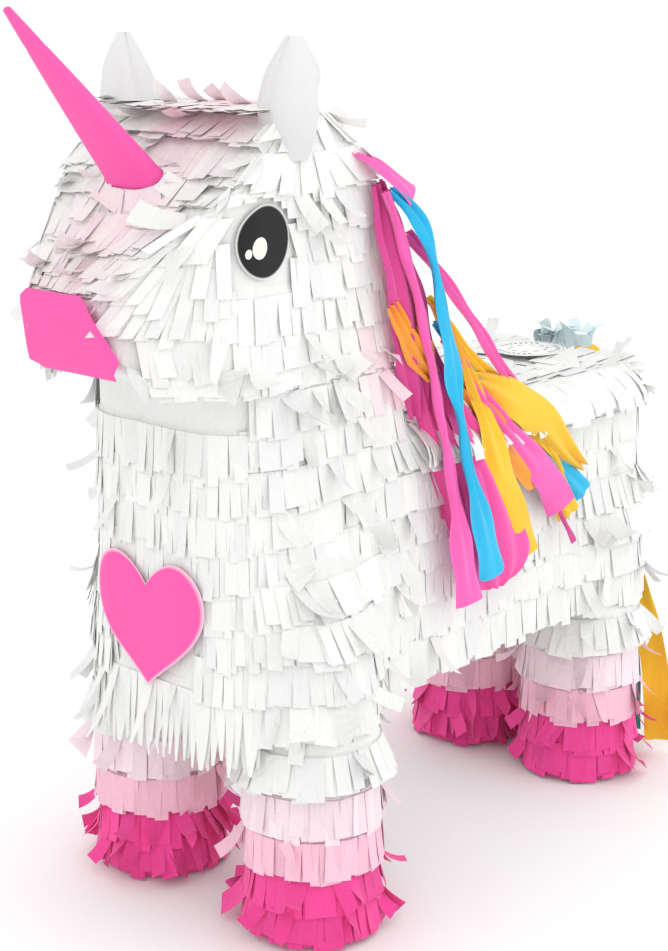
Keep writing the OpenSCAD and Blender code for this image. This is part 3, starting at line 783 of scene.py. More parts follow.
def kraft_card():
    """Kraft card: brown fibres with darker flecks, and the faint ribs of its flutes."""
    material, tree, shader = new_material("kraft_card", 0.85)
    base = bpy.context.scene.pinata_colours.card
    where = add(tree, "TexCoord")
    place = {"Vector": where.outputs["Object"]}
    fibres = add(tree, "Mapping", values={"Scale": (1.0, 0.2, 1.0)}, links=place)
    drawn_out = {"Vector": fibres.outputs["Vector"]}
    fleck = add(tree, "TexNoise", values={"Scale": 900.0, "Detail": 5.0}, links=drawn_out)
    ramp = add(tree, "ValToRGB", links={"Fac": fleck.outputs["Fac"]})
    dark, light = ramp.color_ramp.elements
    dark.position, light.position = 0.3, 0.62
    dark.color = [0.62 * v for v in base] + [1]
    light.color = list(base) + [1]
    bands = {"Scale": 45.0, "Distortion": 0.4}
    flute = add(tree, "TexWave", settings={"bands_direction": "Y"}, values=bands, links=place)
    ribs = {"Height": flute.outputs["Fac"]}
    bump = add(tree, "Bump", values={"Strength": 0.3, "Distance": 0.2 * MM}, links=ribs)
    tree.links.new(ramp.outputs["Color"], shader.inputs["Base Color"])
    tree.links.new(bump.outputs["Normal"], shader.inputs["Normal"])
    return material


# ---------------------------------------------------------------------------------------------
# Operators


class Maker(bpy.types.Operator):
    """Base of the pinata's operators."""

    bl_options = {"REGISTER", "UNDO"}

    def execute(self, context):
        self.make(context.scene.pinata_shape, context.scene.pinata_fringe, context.scene.pinata_colours)
        return {"FINISHED"}


class PINATA_OT_card(Maker):
    """Gives the card core its kraft card: boards, leg tubes, soles, hanging plate and flap"""

    bl_idname = "pinata.card"
    bl_label = "Card core"

    def make(self, shape, fringe, colours):
        material = kraft_card()
        for name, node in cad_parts.items():
            if name.endswith(("_board", "_tube")) or name in ("soles", "hang_plate", "fill_flap"):
                node.data.materials.clear()
                node.data.materials.append(material)


def hang_holes():
    """Where the two hanging holes are along the back."""
    return [low("hang_plate")[1] + HOLE_IN, high("hang_plate")[1] - HOLE_IN]


def pierced_back():
    """The tissue over the back as a flat grid with a square gap for the flap and a round one over each
    hanging hole: each hole's ring joins a square of the grid to a circle."""
    flap_low, flap_high = low("flap_fringe"), high("flap_fringe")
    hole_y = hang_holes()
    cell, hole_r = 0.009, 0.0052
    wide, rear, z = HALF_W - 0.0145, RUMP_Y - 0.018, BACK_Z - 0.0052
    marks_x = [-wide, flap_low[0], -cell, cell, flap_high[0], wide]
    hole_marks = [y + k * cell for y in hole_y for k in (-1, 1)]
    marks_y = [WITHERS_Y - 0.012] + hole_marks + [flap_low[1], flap_high[1], rear]

    def spread(marks, n):
        steps = [np.linspace(a, b, n)[:-1] for a, b in zip(marks, marks[1:])]
        return np.concatenate(steps + [[marks[-1]]])

    x, y = np.meshgrid(spread(marks_x, 5), spread(marks_y, 6))
    quads = grid_quads(*x.shape)
    flat = np.stack([x.ravel(), y.ravel()], -1)
    middles = flat[quads].mean(1)
    inside = lambda centre, half: (np.abs(middles - centre) < half).all(1)
    gap = inside((flap_low + flap_high)[:2] / 2, (flap_high - flap_low)[:2] / 2)
    for yc in hole_y:
        gap |= inside((0, yc), (cell, cell))
    corner = 0.036
    run = np.clip(flat[:, 1] - (rear - corner), 0, corner)
    limit = wide - corner + np.sqrt(corner**2 - run**2)
    flat[:, 0] = np.clip(flat[:, 0], -limit, limit)
    heap = Heap()
    flat = np.column_stack([flat, np.full(len(flat), z)])
    heap.coat(flat, quads[~gap][:, ::-1], white_paint, UNDER_TONE)
    a = np.linspace(0, 2 * math.pi, 48, endpoint=False)
    spoke = np.stack([np.cos(a), np.sin(a)], -1)
    square = spoke / np.abs(spoke).max(1, keepdims=True) * cell
    for yc in hole_y:
        ring = np.stack([square, spoke * hole_r]) + [0, yc]
        washer = np.dstack([ring, np.full(ring.shape[:2], z)])
        heap.coat(washer, grid_quads(2, len(a), wrap=True)[:, ::-1], white_paint, UNDER_TONE)
    return heap


class PINATA_OT_underlay(Maker):
    """Wraps the card in plain tissue: neck and body, the back with its openings, and the head"""

    bl_idname = "pinata.underlay"
    bl_label = "Tissue underlay"

    def make(self, shape, fringe, colours):
        heap = pierced_back()
        for skin, top, bottom in (
            (body_skin(JAW_Z + 0.010, BACK_Z + 0.0002, UNDERLAY_IN), False, False),
            (body_skin(BACK_Z - 0.0002, BELLY_Z, UNDERLAY_IN), False, True),
        ):
            heap.coat(*skin_grid(skin, top, bottom), white_paint, UNDER_TONE)
        heap_object(heap, "body_underlay", tissue())
        heap = Heap()
        heap.coat(*skin_grid(head_skin(UNDERLAY_IN), True, True), white_paint, UNDER_TONE)
        heap_object(heap, "head_underlay", tissue())


def back_rows(heap, flap_heap, rng):
    """Rows laid across the back, tabs towards the rump. On the flap they belong to the flap, and none
    crosses its edge or its label."""
    f = bpy.context.scene.pinata_fringe
    x0, x1 = low("flap_fringe")[0], high("flap_fringe")[0]
    crease, flap_end = low("flap_fringe")[1], high("flap_fringe")[1]
    label, label_r = middle("fill_label"), (high("fill_label") - low("fill_label"))[0] / 2
    holes = hang_holes()
    reach = f.header + f.tab_l

    back = ((1.0, 0, 0), (0, 1.0, 0), (0, 0, 1.0))

    def off_openings(p):
        """Where tabs lie off the flap and cross neither its edge nor a hanging hole."""
        ok = (p[:, 0] <= x0) | (p[:, 0] >= x1) | (p[:, 1] + reach <= crease) | (p[:, 1] >= flap_end)
        for hole in holes:
            ahead = hole - p[:, 1]
            ok &= np.hypot(p[:, 0], np.clip(ahead, 0, reach) - ahead) > 0.006
        return ok

    def off_label(p):
        """Where tabs stop short of the label."""
        ahead = label[1] - p[:, 1]
        return np.hypot(p[:, 0], np.clip(ahead, 0, 0.8 * f.tab_l) - ahead) > label_r * 0.86

    y = WITHERS_Y - 0.004
    row = 0
    while y < RUMP_Y - 0.020:
        x = np.linspace(-HALF_W + 0.010, HALF_W - 0.010, 60)
        z = BACK_Z - 0.0045 - 0.006 * smoothstep(0.052, 0.066, np.abs(x))
        ring = flat_row(x, y + 0.002 * np.sin(x * 40 + row), z, *back)
        look = CALM if crease - 0.060 < y < crease else LOOSE
        tissue_row(heap, rng, ring, white_paint, look, keep=off_openings, closed=False, tab_w=BACK_TAB_W)
        y += f.pitch
        row += 1
    for y in np.arange(crease + 0.001, flap_end - 0.010, f.pitch * 0.95):
        x = np.linspace(x0 + 0.001, x1 - 0.001, 30)
        tab_l = min(f.tab_l, flap_end - y - 0.003)
        tissue_row(
            flap_heap, rng, flat_row(x, y, BACK_Z - 0.0035, *back), white_paint, NEAT,
            keep=off_label, closed=False, tab_w=BACK_TAB_W, tab_l=tab_l,
        )


class PINATA_OT_body_fringe(Maker):
    """Rows of cut tissue round the chest, neck, sides and rump, across the back and over the flap"""

    bl_idname = "pinata.body_fringe"
    bl_label = "Body fringe"

    def make(self, shape, fringe, colours):
        rng = np.random.default_rng(fringe.seed)
        neck = body_skin(JAW_Z + 0.004, BACK_Z + 0.0005, ROW_IN)
        body = body_skin(BACK_Z - 0.0005, BELLY_Z, ROW_IN)
        chest, flanks = Heap(), Heap()
        front_w, front_l = 0.0056, fringe.tab_l * 1.15
        for z in np.arange(JAW_Z, BACK_Z + 0.004, -fringe.pitch * 0.9):
            tissue_row(flanks, rng, neck.ring(z), white_paint, LOOSE, keep=lambda p: ~is_chest(p))
        tissue_row(
            chest, rng, neck.ring(BACK_Z + 0.010), white_paint, NEAT,
            keep=is_chest, tab_w=front_w, tab_l=front_l, header=0.0025,
        )
        tissue_row(
            flanks, rng, body.ring(BACK_Z - 0.0030), white_paint, EDGE, keep=lambda p: p[:, 1] > WITHERS_Y,
            tab_l=0.034,
        )
        rows = np.arange(BACK_Z - 0.0095, BELLY_Z + 0.010, -fringe.pitch)
        for z in rows:
            ring = body.ring(z)
            last = z == rows[-1]
            tissue_row(
                chest, rng, ring, white_paint, NEAT, keep=lambda p: is_chest(p) & outside_heart(p),
                tab_w=front_w, tab_l=0.046 if last else front_l, point=0.75 if last else 0.0,
            )
            tab_l = 0.029 if last else None
            tissue_row(flanks, rng, ring, white_paint, LOOSE, keep=lambda p: ~is_chest(p), tab_l=tab_l)
        flap = Heap()
        back_rows(flanks, flap, rng)
        heap_object(chest, "chest_fringe_rows", tissue(), replaces=("chest_fringe",))
        heap_object(flanks, "body_fringe_rows", tissue(), replaces=("body_fringe",))
        x0, x1 = low("flap_fringe")[0], high("flap_fringe")[0]
        y0, y1 = low("flap_fringe")[1], high("flap_fringe")[1]
        x, y = np.meshgrid(np.linspace(x0, x1, 12), np.linspace(y0, y1, 12))
        base = np.dstack([x, y, np.full(x.shape, BACK_Z - 0.0045)])
        flap.coat(base, grid_quads(12, 12)[:, ::-1], white_paint, UNDER_TONE)
        heap_object(flap, "flap_fringe_rows", tissue(), body="flap", replaces=("flap_fringe",))


class PINATA_OT_head_fringe(Maker):
    """Rows of cut tissue round the head, kept off the eyes, the nose and the horn's foot"""

    bl_idname = "pinata.head_fringe"
    bl_label = "Head fringe"

    def make(self, shape, fringe, colours):
        rng = np.random.default_rng(fringe.seed + 1)
        skin = head_skin(ROW_IN)
        heap = Heap()
        half, brow = 0.066, CHEST_Y + 0.046
        forehead = lambda p: (np.abs(p[:, 0]) < half) & (p[:, 1] < brow) & (p[:, 2] > NOSE_TOP - 0.004)
        sides = lambda p: ~forehead(p)
        for z in np.arange(CROWN_Z - 0.004, JAW_Z + 0.014, -fringe.pitch * 0.86):
            tab_l = min(fringe.tab_l * 1.05, z - JAW_Z - fringe.header + 0.004)
            tissue_row(
                heap, rng, skin.ring(z), white_paint, LOOSE,
                keep=sides, room=head_room, tab_w=0.0088, tab_l=tab_l,
            )
        for z in np.arange(CROWN_Z - 0.004, NOSE_TOP + 0.004, -0.0125):
            tissue_row(
                heap, rng, skin.ring(z), white_paint, LOOSE,
                keep=forehead, room=head_room, tab_w=0.0075, tab_l=0.030,
            )
        front, back = CHEST_Y + shape.brow_back, CHEST_Y + shape.brow_back + shape.crown_len
        for y in np.linspace(back, front + 0.004, 3):
            x = np.linspace(-half, half, 50)
            ring = flat_row(x, y, CROWN_Z - 0.0035, (-1.0, 0, 0), (0, -1.0, -0.12), (0, -0.12, 1.0))
            tissue_row(heap, rng, ring, white_paint, LOOSE, closed=False, tab_w=0.0066)
        heap_object(heap, "head_fringe_rows", tissue(), replaces=("head_fringe",))


def leg_piece(name, legs, sections, colour_paint, material, replaces, rng):
    """Sleeve and rows of one colour on one or more legs. sections holds (top, bottom, rows, look, tab
    length): where the sleeve runs and at which heights its rows start."""
    heap = Heap()
    top, bottom, rows, look, tab_l = sections
    tab_w = 0.0092 if look is MESSY else None
    for leg in legs:
        skin = leg_skin(LEGS[leg], top, bottom, HOOF_R - (0.0028 if look is MESSY else 0.0005))
        heap.coat(*skin_grid(skin, False, bottom < 0.01), colour_paint, SLEEVE_TONE)
        for z in rows:
            tissue_row(heap, rng, skin.ring(z), colour_paint, look, tab_w=tab_w, tab_l=tab_l)
    heap.v = [np.column_stack([v[:, :2], np.maximum(v[:, 2], 0.0012)]) for v in heap.v]
    heap_object(heap, name, material, replaces=replaces)


class PINATA_OT_legs(Maker):
    """Fringe of the four legs: white, two pink cuffs and the hot-pink hooves"""

    bl_idname = "pinata.legs"
    bl_label = "Leg fringe"

    def make(self, shape, fringe, colours):
        rng = np.random.default_rng(fringe.seed + 2)
        pale_top, pink_top = high("pale_cuffs")[2], high("pink_cuffs")[2]
        hoof_top = high("front_left_hoof")[2]
        drop = fringe.header + fringe.tab_l
        white_rows = [pale_top + drop + k * 0.020 for k in (1, 0)]
        white = (BELLY_Z + 0.008, pale_top - 0.002, white_rows, LOOSE, fringe.tab_l)
        hoof_rows = [hoof_top + 0.005 - k * 0.0195 for k in (0, 1)]
        hoof = (hoof_top + 0.006, 0.0020, hoof_rows, MESSY, 0.025)
        for leg in LEGS:
            leg_piece(
                leg + "_fringe_rows", [leg], white, white_paint, tissue(),
                (leg + "_fringe",), rng,
            )
            leg_piece(
                leg + "_hoof_rows", [leg], hoof, plain_paint(colours.hot_pink, 0.10), coloured_tissue(),
                (leg + "_hoof",), rng,
            )
        pale = (pale_top + 0.006, pink_top - 0.001, [pale_top + 0.004], LOOSE, fringe.tab_l + 0.001)
        pink = (pink_top + 0.006, hoof_top - 0.001, [pink_top + 0.004], LOOSE, fringe.tab_l)
        leg_piece(
            "pale_cuff_rows", list(LEGS), pale, plain_paint(colours.pale_pink), coloured_tissue(),
            ("pale_cuffs",), rng,
        )
        leg_piece(
            "pink_cuff_rows", list(LEGS), pink, plain_paint(colours.light_pink), coloured_tissue(),
            ("pink_cuffs",), rng,
        )


class PINATA_OT_horn(Maker):
    """The horn, a sheet of pink paper folded into a flat cone whose outer edge shows as a seam"""

    bl_idname = "pinata.horn"
    bl_label = "Horn"

    def make(self, shape, fringe, colours):
        """Oval tube folded 1.1 turns: half width and half depth both run from foot to tip as mix(foot, tip,
        v), plus 0.5 mm per turn, with a dent near the tip. Its corners are those of |x|^2.6 + |y|^2.6 = 1."""
        foot, slope, axis = horn_frame()
        turn, v = np.meshgrid(np.linspace(0, 2.2 * math.pi, 97), np.linspace(0, 1, 60))
        dent = 1 - 0.10 * np.exp(-(((v - 0.80) / 0.02) ** 2))
        bow = 0.0010 * np.sin(math.pi * v)
        grow = 0.0005 * turn / (2 * math.pi)
        square = lambda w: np.sign(w) * np.abs(w) ** (2 / 2.6)
        across = (mix(shape.horn_r, 0.0018, v) * dent + bow + grow) * square(np.cos(turn + 2.6))
        deep = (mix(shape.horn_d, 0.0014, v) + grow) * square(np.sin(turn + 2.6))
        centre = foot + axis * mix(0.001, shape.horn_len, v)[..., None]
        points = centre + np.array([1.0, 0, 0]) * across[..., None] + slope * deep[..., None]
        points = np.concatenate([points, np.broadcast_to(centre[-1:] + axis * 0.0012, points[:1].shape)])
        surface("rolled_horn", points, cover_paper(), colours.trim_pink, ("horn",))
        self.collar(foot, slope, axis, shape, fringe)

    def collar(self, foot, slope, axis, shape, fringe):
        """Short tabs that stand round the horn's foot and lean away from it."""
        a = np.linspace(0, 2 * math.pi, 40, endpoint=False)[:, None]
        spoke = np.array([1.0, 0, 0]) * np.cos(a) * shape.horn_r + slope * np.sin(a) * shape.horn_d
        away = unit(spoke / np.array([shape.horn_r, shape.horn_d, shape.horn_d]) ** 2)
        down = unit(0.75 * away - 0.65 * axis)
        root = foot + spoke * 1.02 + axis * 0.0045
        ring = (root, unit(np.cross(axis, away)), down, unit(0.75 * axis + 0.65 * away))
        heap = Heap()
        rng = np.random.default_rng(fringe.seed + 5)
        tissue_row(heap, rng, ring, white_paint, LOOSE, tab_w=0.0065, tab_l=0.013, header=0.002)
        heap_object(heap, "horn_collar_tissue", tissue())


class PINATA_OT_ears(Maker):
    """The two ears, each a leaf of white paper rolled into a half cone with one edge turned in"""

    bl_idname = "pinata.ears"
    bl_label = "Ears"

    def make(self, shape, fringe, colours):
        """Half cone about an upright line: its radius follows a leaf from foot to tip and its angle runs
        100 degrees either side of forwards and out; the edge nearer the rump is turned in at its foot."""
        foot_z, top_z = low("left_ear")[2] - 0.004, high("left_ear")[2] + 0.001
        u, v = np.meshgrid(np.linspace(-1, 1, 49), np.linspace(0, 1, 40))
        leaf = soften(np.interp(v, [0, 0.2, 0.42, 0.7, 0.9, 1], [0.60, 0.88, 1.0, 0.78, 0.42, 0.22]), 0, 6)
        turned = 1 - 0.38 * smoothstep(0.40, 1.0, u) * (1 - smoothstep(0.45, 0.75, v))
        radius = 0.0195 * leaf * turned
        fold = 0.0014 * np.exp(-(((u + 0.45) / 0.10) ** 2)) * smoothstep(0.1, 0.5, v)
        angle = math.radians(-52) + u * math.radians(104) * (1 - 0.25 * v)
        for side, name in ((1, "left_ear"), (-1, "right_ear")):
            seen = angle if side > 0 else angle - math.radians(50)
            root = 0.065 if side > 0 else 0.058
            x = side * (root + 0.005 * v + (radius - fold) * np.cos(seen))
            y = middle(name)[1] + 0.006 - 0.003 * v + (radius - fold) * np.sin(seen)
            z = mix(foot_z, top_z, v) + 0.003 * (1 - v) * u**2
            tone = (0.9 - 0.8 * v + 0.5 * np.abs(u)).reshape(-1, 1)
            paint = np.array(colours.shade) * (0.97 - 0.10 * np.clip(tone, 0, 1))
            surface(
                "folded_" + name, np.stack([x, y, z], -1), cover_paper(), paint, (name,),
                flip=side < 0,
            )


# Highlights of the eye: where each is from the eye's middle, and its half width and half height
GLINT_LARGE = ((-0.0040, -0.0030), (0.0048, 0.0059))
GLINT_SMALL = ((-0.0112, -0.0056), (0.0020, 0.0026))


class PINATA_OT_eyes(Maker):
    """The printed eyes: dark ovals with a pale rim that lean back, each with two highlights"""

    bl_idname = "pinata.eyes"
    bl_label = "Eyes"

    def oval(self, side, middle_yz, half_w, half_h, lift, colours, shares, lean):
        """An ellipse laid on the cheek as a grid of points with a colour for each: y = half width times
        cos t, z = half height times sin t, turned by lean. Each colour runs out to its share of the way."""
        relief = Relief(head_skin(0.0036), 0, side, (MUZZLE_Y + 0.012, WITHERS_Y - 0.02))
        a = np.linspace(0, 2 * math.pi, 64, endpoint=False)
        y, z = half_w * np.cos(a), half_h * np.sin(a)
        c, s = math.cos(lean), math.sin(lean)
        outline = np.stack([y * c + z * s, z * c - y * s], -1)
        grid, share = disc(outline, (0, 0), 16)
        grid = grid + middle_yz
        points = relief.place(grid[..., 0], grid[..., 1], np.full(grid.shape[:2], lift))
        return points, np.array([colours[i] for i in np.searchsorted(shares, share.ravel())])

    def make(self, shape, fringe, colours):
        glints = Heap()
        dark, rim, glint = (np.array(c) for c in (colours.eye, colours.white, colours.glint))
        outline = 0.2 * dark
        lean = math.radians(12)
        for side, name in ((1, "left_eye"), (-1, "right_eye")):
            centre = middle(name)[1:] + np.array([0.003, -0.001])
            points, paint = self.oval(
                side, centre, 0.0180, 0.0200, 0.0012, (dark, outline, rim), (0.92, 0.955), lean
            )
            surface(
                "printed_" + name, points, sticker(), paint, (name,),
                wrap=True, flip=side < 0,
            )
            for (dy, dz), (w, h) in (GLINT_LARGE, GLINT_SMALL):
                points, paint = self.oval(
                    side, centre + [dy, dz], w, h, 0.0016, (glint, rim), (0.86,), lean
                )
                glints.add(points, grid_quads(*points.shape[:2], wrap=True)[:, ::side], paint)
        heap_object(glints, "eye_highlights", sticker(), replaces=("eye_glints",))


class PINATA_OT_patches(Maker):
    """The paper heart wrapped on the chest and the nose patch wrapped round the muzzle"""

    bl_idname = "pinata.patches"
    bl_label = "Heart and nose"

    def make(self, shape, fringe, colours):
        self.heart(colours)
        self.nose(colours)

    def heart(self, colours):
        """Outline x = 16 |sin t|^2.1, z = 13 cos t - 4 cos 2t - 2 cos 3t - cos 4t, laid on the chest."""
        relief = Relief(body_skin(BACK_Z - 0.0005, BELLY_Z, 0.0), 1, -1, (-0.070, 0.070))
        t = np.linspace(0, 2 * math.pi, 128, endpoint=False)
        x = 16 * np.sign(np.sin(t)) * np.abs(np.sin(t)) ** 2.1
        z = 13 * np.cos(t) - 4 * np.cos(2 * t) - 2 * np.cos(3 * t) - np.cos(4 * t)
        grid, share = disc(np.stack([x, z], -1) * 0.0028, (0, -0.004), 18)
        mid = middle("heart_patch")
        lift = 0.0026 - 0.0016 * share**4
        points = relief.place(grid[..., 0] - 0.0015, grid[..., 1] + mid[2] + 0.005, lift)
        rim = smoothstep(0.985, 1.0, share).reshape(-1, 1)
        paint = mix(np.array(colours.trim_pink), np.array(colours.blush), rim)
        surface(
            "paper_heart", points, cover_paper(), paint, ("heart_patch",), wrap=True, flip=True
        )

    def nose(self, colours):
        """A strip of the head's own rings between the nose's heights, from cheek to cheek: its half length
        at each height is half the muzzle and a wrap that grows downwards, less what rounds its corners."""
        skin = head_skin(-0.0027)
        rounding = 0.004
        rows = []
        for v in np.linspace(0, 1, 15):
            z = mix(NOSE_TOP + 0.001, NOSE_LOW - 0.001, v)
            ring = skin.ring(z)
            off_middle = np.where(ring[0][:, 1] < MUZZLE_Y + 0.02, np.abs(ring[0][:, 0]), 1)
            front = travelled(ring, True)[np.argmin(off_middle)]
            near_end = min(z - NOSE_LOW + 0.001, NOSE_TOP + 0.001 - z)
            short = rounding - math.sqrt(max(rounding**2 - max(rounding - near_end, 0) ** 2, 0))
            wrap = NOSE_W + np.interp(v, [0, 0.78, 1], [-0.001, 0.0145, 0.0065])
            rows.append(along_ring(ring, front + np.linspace(-1, 1, 61) * (wrap - short))[0])
        surface(
            "nose_paper", np.array(rows), cover_paper(), colours.trim_pink, ("nose_patch",),
            thick=0.0005,
        )


class PINATA_OT_label(Maker):
    """The round label on the flap: white paper with a thin ring and two rings of dashes"""

    bl_idname = "pinata.label"
    bl_label = "Label"

    def make(self, shape, fringe, colours):
        mid, radius = middle("fill_label"), (high("fill_label") - low("fill_label"))[0] / 2
        a = np.linspace(0, 2 * math.pi, 240, endpoint=False)
        outline = np.stack([np.cos(a), np.sin(a)], -1) * radius
        grid, share = disc(outline, (0, 0), 56)
        z = mid[2] - 0.0006 + 0.0006 * np.sin(grid[..., 0] * 90) * np.cos(grid[..., 1] * 70)
        points = np.dstack([grid + mid[:2], z])
        angle = np.broadcast_to(a, share.shape)
        line = np.abs(share - 0.93) < 0.012
        dashes = (np.mod(angle * 34 / math.pi, 2) < 1.1) & (np.sin(angle * 3) > -0.7)
        outer = (np.abs(share - 0.78) < 0.060) & dashes
        inner = (np.abs(share - 0.50) < 0.035) & (np.mod(angle * 10 / math.pi, 2) < 0.9)
        ink = (line | outer | inner).reshape(-1, 1)
        paint = np.where(ink, np.array(colours.ink), np.array(colours.white))
        surface(
            "round_label", points, sticker(), paint, ("fill_label",), body="flap", wrap=True
        )


def smooth_route(route, n):
    """n points at equal steps along a Catmull-Rom curve through the route's points."""
    p = np.vstack([2 * route[0] - route[1], route, 2 * route[-1] - route[-2]])
    t = np.linspace(0, 1, 24, endpoint=False)[:, None]
    parts = []
    for a, b, c, d in zip(p, p[1:], p[2:], p[3:]):
        bend, twist = 2 * a - 5 * b + 4 * c - d, 3 * b - 3 * c + d - a
        parts.append(0.5 * (2 * b + (c - a) * t + bend * t**2 + twist * t**3))
    line = np.vstack(parts + [route[-1:]])
    s = np.concatenate([[0], np.cumsum(np.linalg.norm(np.diff(line, axis=0), axis=1))])
    at = np.linspace(0, s[-1], n)
    return np.stack([np.interp(at, s, line[:, k]) for k in range(line.shape[1])], -1), at


def ribbon(
    name, route, wide, turns, facing, colour, slot, body, replaces, rng, full=20.0, folds=2, end=0.0, hot=None
):
    """A paper streamer. Its line runs through the points of route, in millimetres. wide gives the width
    it shows at each of them and turns its twist in degrees about that line, from facing. Where it shows
    less than its full width it is gathered: its cross-section is a wave of folds whose length stays the
    full width. end rounds its last corners by that radius, and hot is its colour at its root."""
    route = np.asarray(route, float) * MM
    line, at = smooth_route(route, 90)
    share = at / at[-1]
    knots = np.linspace(0, 1, len(wide))
    curve = lambda values: soften(np.interp(share, knots, values), 0, 10)
    shown, turn = curve(wide) * MM, np.radians(curve(turns))
    full = full * MM
    across = np.linspace(-1, 1, 8 * folds + 1)
    narrow = np.clip(shown / full, 0.05, 1)
    wave = np.interp(np.mod(across * folds, 2), [0, 0.5, 1, 1.5, 2], [0, 1, 0, -1, 0])
    depth = 0.5 * full / (2 * folds) * np.sqrt(1 - narrow**2)
    tangent = unit(np.gradient(line, axis=0))
    face = np.broadcast_to(unit(np.asarray(facing, float)), line.shape)
    right = unit(np.cross(tangent, face))
    face = np.cross(right, tangent)
    c, s = np.cos(turn)[:, None], np.sin(turn)[:, None]
    right, face = right * c + face * s, face * c - right * s
    length_left = at[-1] - at
    corner = np.clip(end * MM - length_left, 0, end * MM) if end else 0 * at
    trim = (np.sqrt(np.maximum((end * MM) ** 2 - corner**2, 0)) - end * MM) if end else 0 * at
    half = 0.5 * shown + trim
    phase = rng.uniform(0, 6.28)
    flutter = 0.0012 * np.sin(at[:, None] * 130 + phase + across * 1.5) * across**2
    bow = 0.10 * shown[:, None] * (1 - across**2)
    points = (
        line[:, None]
        + right[:, None] * (half[:, None] * across)[..., None]
        + face[:, None] * (depth[:, None] * wave + flutter + bow)[..., None]
    )
    verts = points.reshape(-1, 3)
    tone = (0.5 * np.sin(at[:, None] * 60 + phase) + 0 * across)[..., None].reshape(-1, 1)
    paint = plain_paint(colour, 0.04)(verts, tone)
    if hot is not None:
        paint = mix(np.asarray(hot), paint, smoothstep(0.0, 0.45, np.repeat(share, len(across)))[:, None])
    obj = surface(name, points, streamer(), paint, replaces, body, CREPE, flip=True)


# The mane's streamers: name, colours (the second is that of the root), slot, the node each stands for,
# what differs from the usual strip, and its line. Each point of a line gives x from the mane's header (or
# from the node itself for a long one), y and z in mm, the width it shows in mm and its twist in degrees.
MANE = (
    ("mane_header_tissue", ["magenta"], "hot_pink_tissue", "mane_header", dict(full=36, folds=3),
     ((2, -66, 440, 12, 10), (5, -55, 405, 26, 20), (6, -42, 365, 32, 15), (3, -30, 325, 30, 0),
      (0, -24, 300, 16, 0))),
    ("poll_strip", ["streamer_pink"], "hot_pink_tissue", None, dict(full=15, facing=(0.8, 0.2, 0.7)),
     ((-6, -79, 456, 10, 40), (4, -70, 451, 13, 10), (10, -58, 441, 14, -10), (12, -47, 432, 15, -25))),
    ("broad_strip", ["trim_pink", "magenta"], "hot_pink_tissue", "mane_lobe", dict(full=70, folds=4, end=24),
     ((1, -30, 345, 16, 0), (2, -8, 300, 34, 5), (3, 20, 255, 52, 5), (4, 38, 215, 64, 0),
      (5, 46, 178, 66, -5))),
    ("orange_scrunch", ["orange"], "orange_crepe", "mane_orange", dict(full=26, folds=3),
     ((7, -58, 372, 10, 0), (8, -45, 352, 16, 30), (9, -33, 338, 20, -25), (8, -22, 325, 12, 20))),
    ("orange_tip", ["orange"], "orange_crepe", None, dict(full=24, end=10),
     ((6, 0, 320, 6, 10), (7, 40, 285, 14, 0), (7, 72, 255, 22, 10), (6, 88, 238, 24, 20))),
    ("yellow_streamer", ["yellow", "orange"], "yellow_crepe", "mane_yellow", dict(),
     ((4, -18, 368, 5, 25), (8, 4, 332, 9, 30), (10, 28, 290, 17, 10), (11, 50, 240, 21, 0),
      (11, 71, 193, 22, -12))),
    ("yellow_leaf", ["yellow"], "yellow_crepe", None, dict(full=24),
     ((6, 16, 318, 6, 0), (9, 45, 305, 22, 10), (10, 85, 280, 26, 0), (9, 120, 250, 20, -10),
      (7, 139, 238, 9, -15))),
    ("yellow_edge", ["yellow"], "yellow_crepe", None, dict(full=19),
     ((3, -20, 370, 4, 30), (5, 12, 335, 8, 20), (5, 60, 295, 14, 0), (4, 105, 245, 16, -10),
      (5, 128, 207, 18, 0))),
    ("pink_streamer", ["streamer_pink"], "pink_crepe", "mane_pink", dict(full=18),
     ((4, -42, 410, 6, 20), (8, -14, 382, 7, 30), (9, 21, 345, 8, 35), (8, 57, 306, 10, 20),
      (5, 80, 285, 14, 10))),
    ("pink_swallow", ["streamer_pink"], "pink_crepe", None, dict(),
     ((6, -10, 345, 5, 30), (9, 30, 300, 9, 20), (10, 62, 270, 13, 10), (11, 95, 238, 20, 0),
      (10, 112, 216, 22, -10))),
    ("pink_flank", ["streamer_pink"], "pink_crepe", None, dict(),
     ((2, -20, 345, 6, 0), (5, -4, 310, 12, 15), (6, 14, 275, 15, 10), (7, 24, 240, 18, 0),
      (7, 30, 205, 20, 0))),
    ("turquoise_edge", ["turquoise"], "turquoise_crepe", None, dict(full=17),
     ((3, -14, 355, 4, 30), (4, 25, 318, 7, 20), (4, 75, 275, 10, 10), (5, 118, 240, 14, 0),
      (6, 143, 219, 16, 0))),
    ("magenta_thread", ["magenta"], "pink_crepe", None, dict(full=12),
     ((3, 5, 330, 5, 30), (5, 50, 285, 9, 20), (6, 95, 240, 10, 40), (8, 118, 205, 5, 60),
      (8, 131, 188, 3, 60))),
    ("long_pink_streamer", ["streamer_pink"], "pink_crepe", "long_pink", dict(),
     ((-2, -67, 436, 5, 35), (0, -58, 412, 6, 45), (1, -42, 372, 7, 50), (1, -26, 322, 8, 50),
      (0, -8, 262, 10, 40), (1, 3, 215, 18, 10), (2, 11, 176, 20, 0))),
    ("long_turquoise_streamer", ["turquoise"], "turquoise_crepe", "long_turquoise", dict(end=2.5),
     ((-3, -65, 437, 6, 0), (0, -50, 424, 14, 30), (2, -37, 405, 8, 50), (2, -26, 370, 19, 30),
      (2, -15, 335, 17, 20), (1, -5, 301, 5, 50), (1, 6, 262, 15, 25), (2, 20, 225, 19, 10),
      (2, 31, 189, 20, 0))),
)


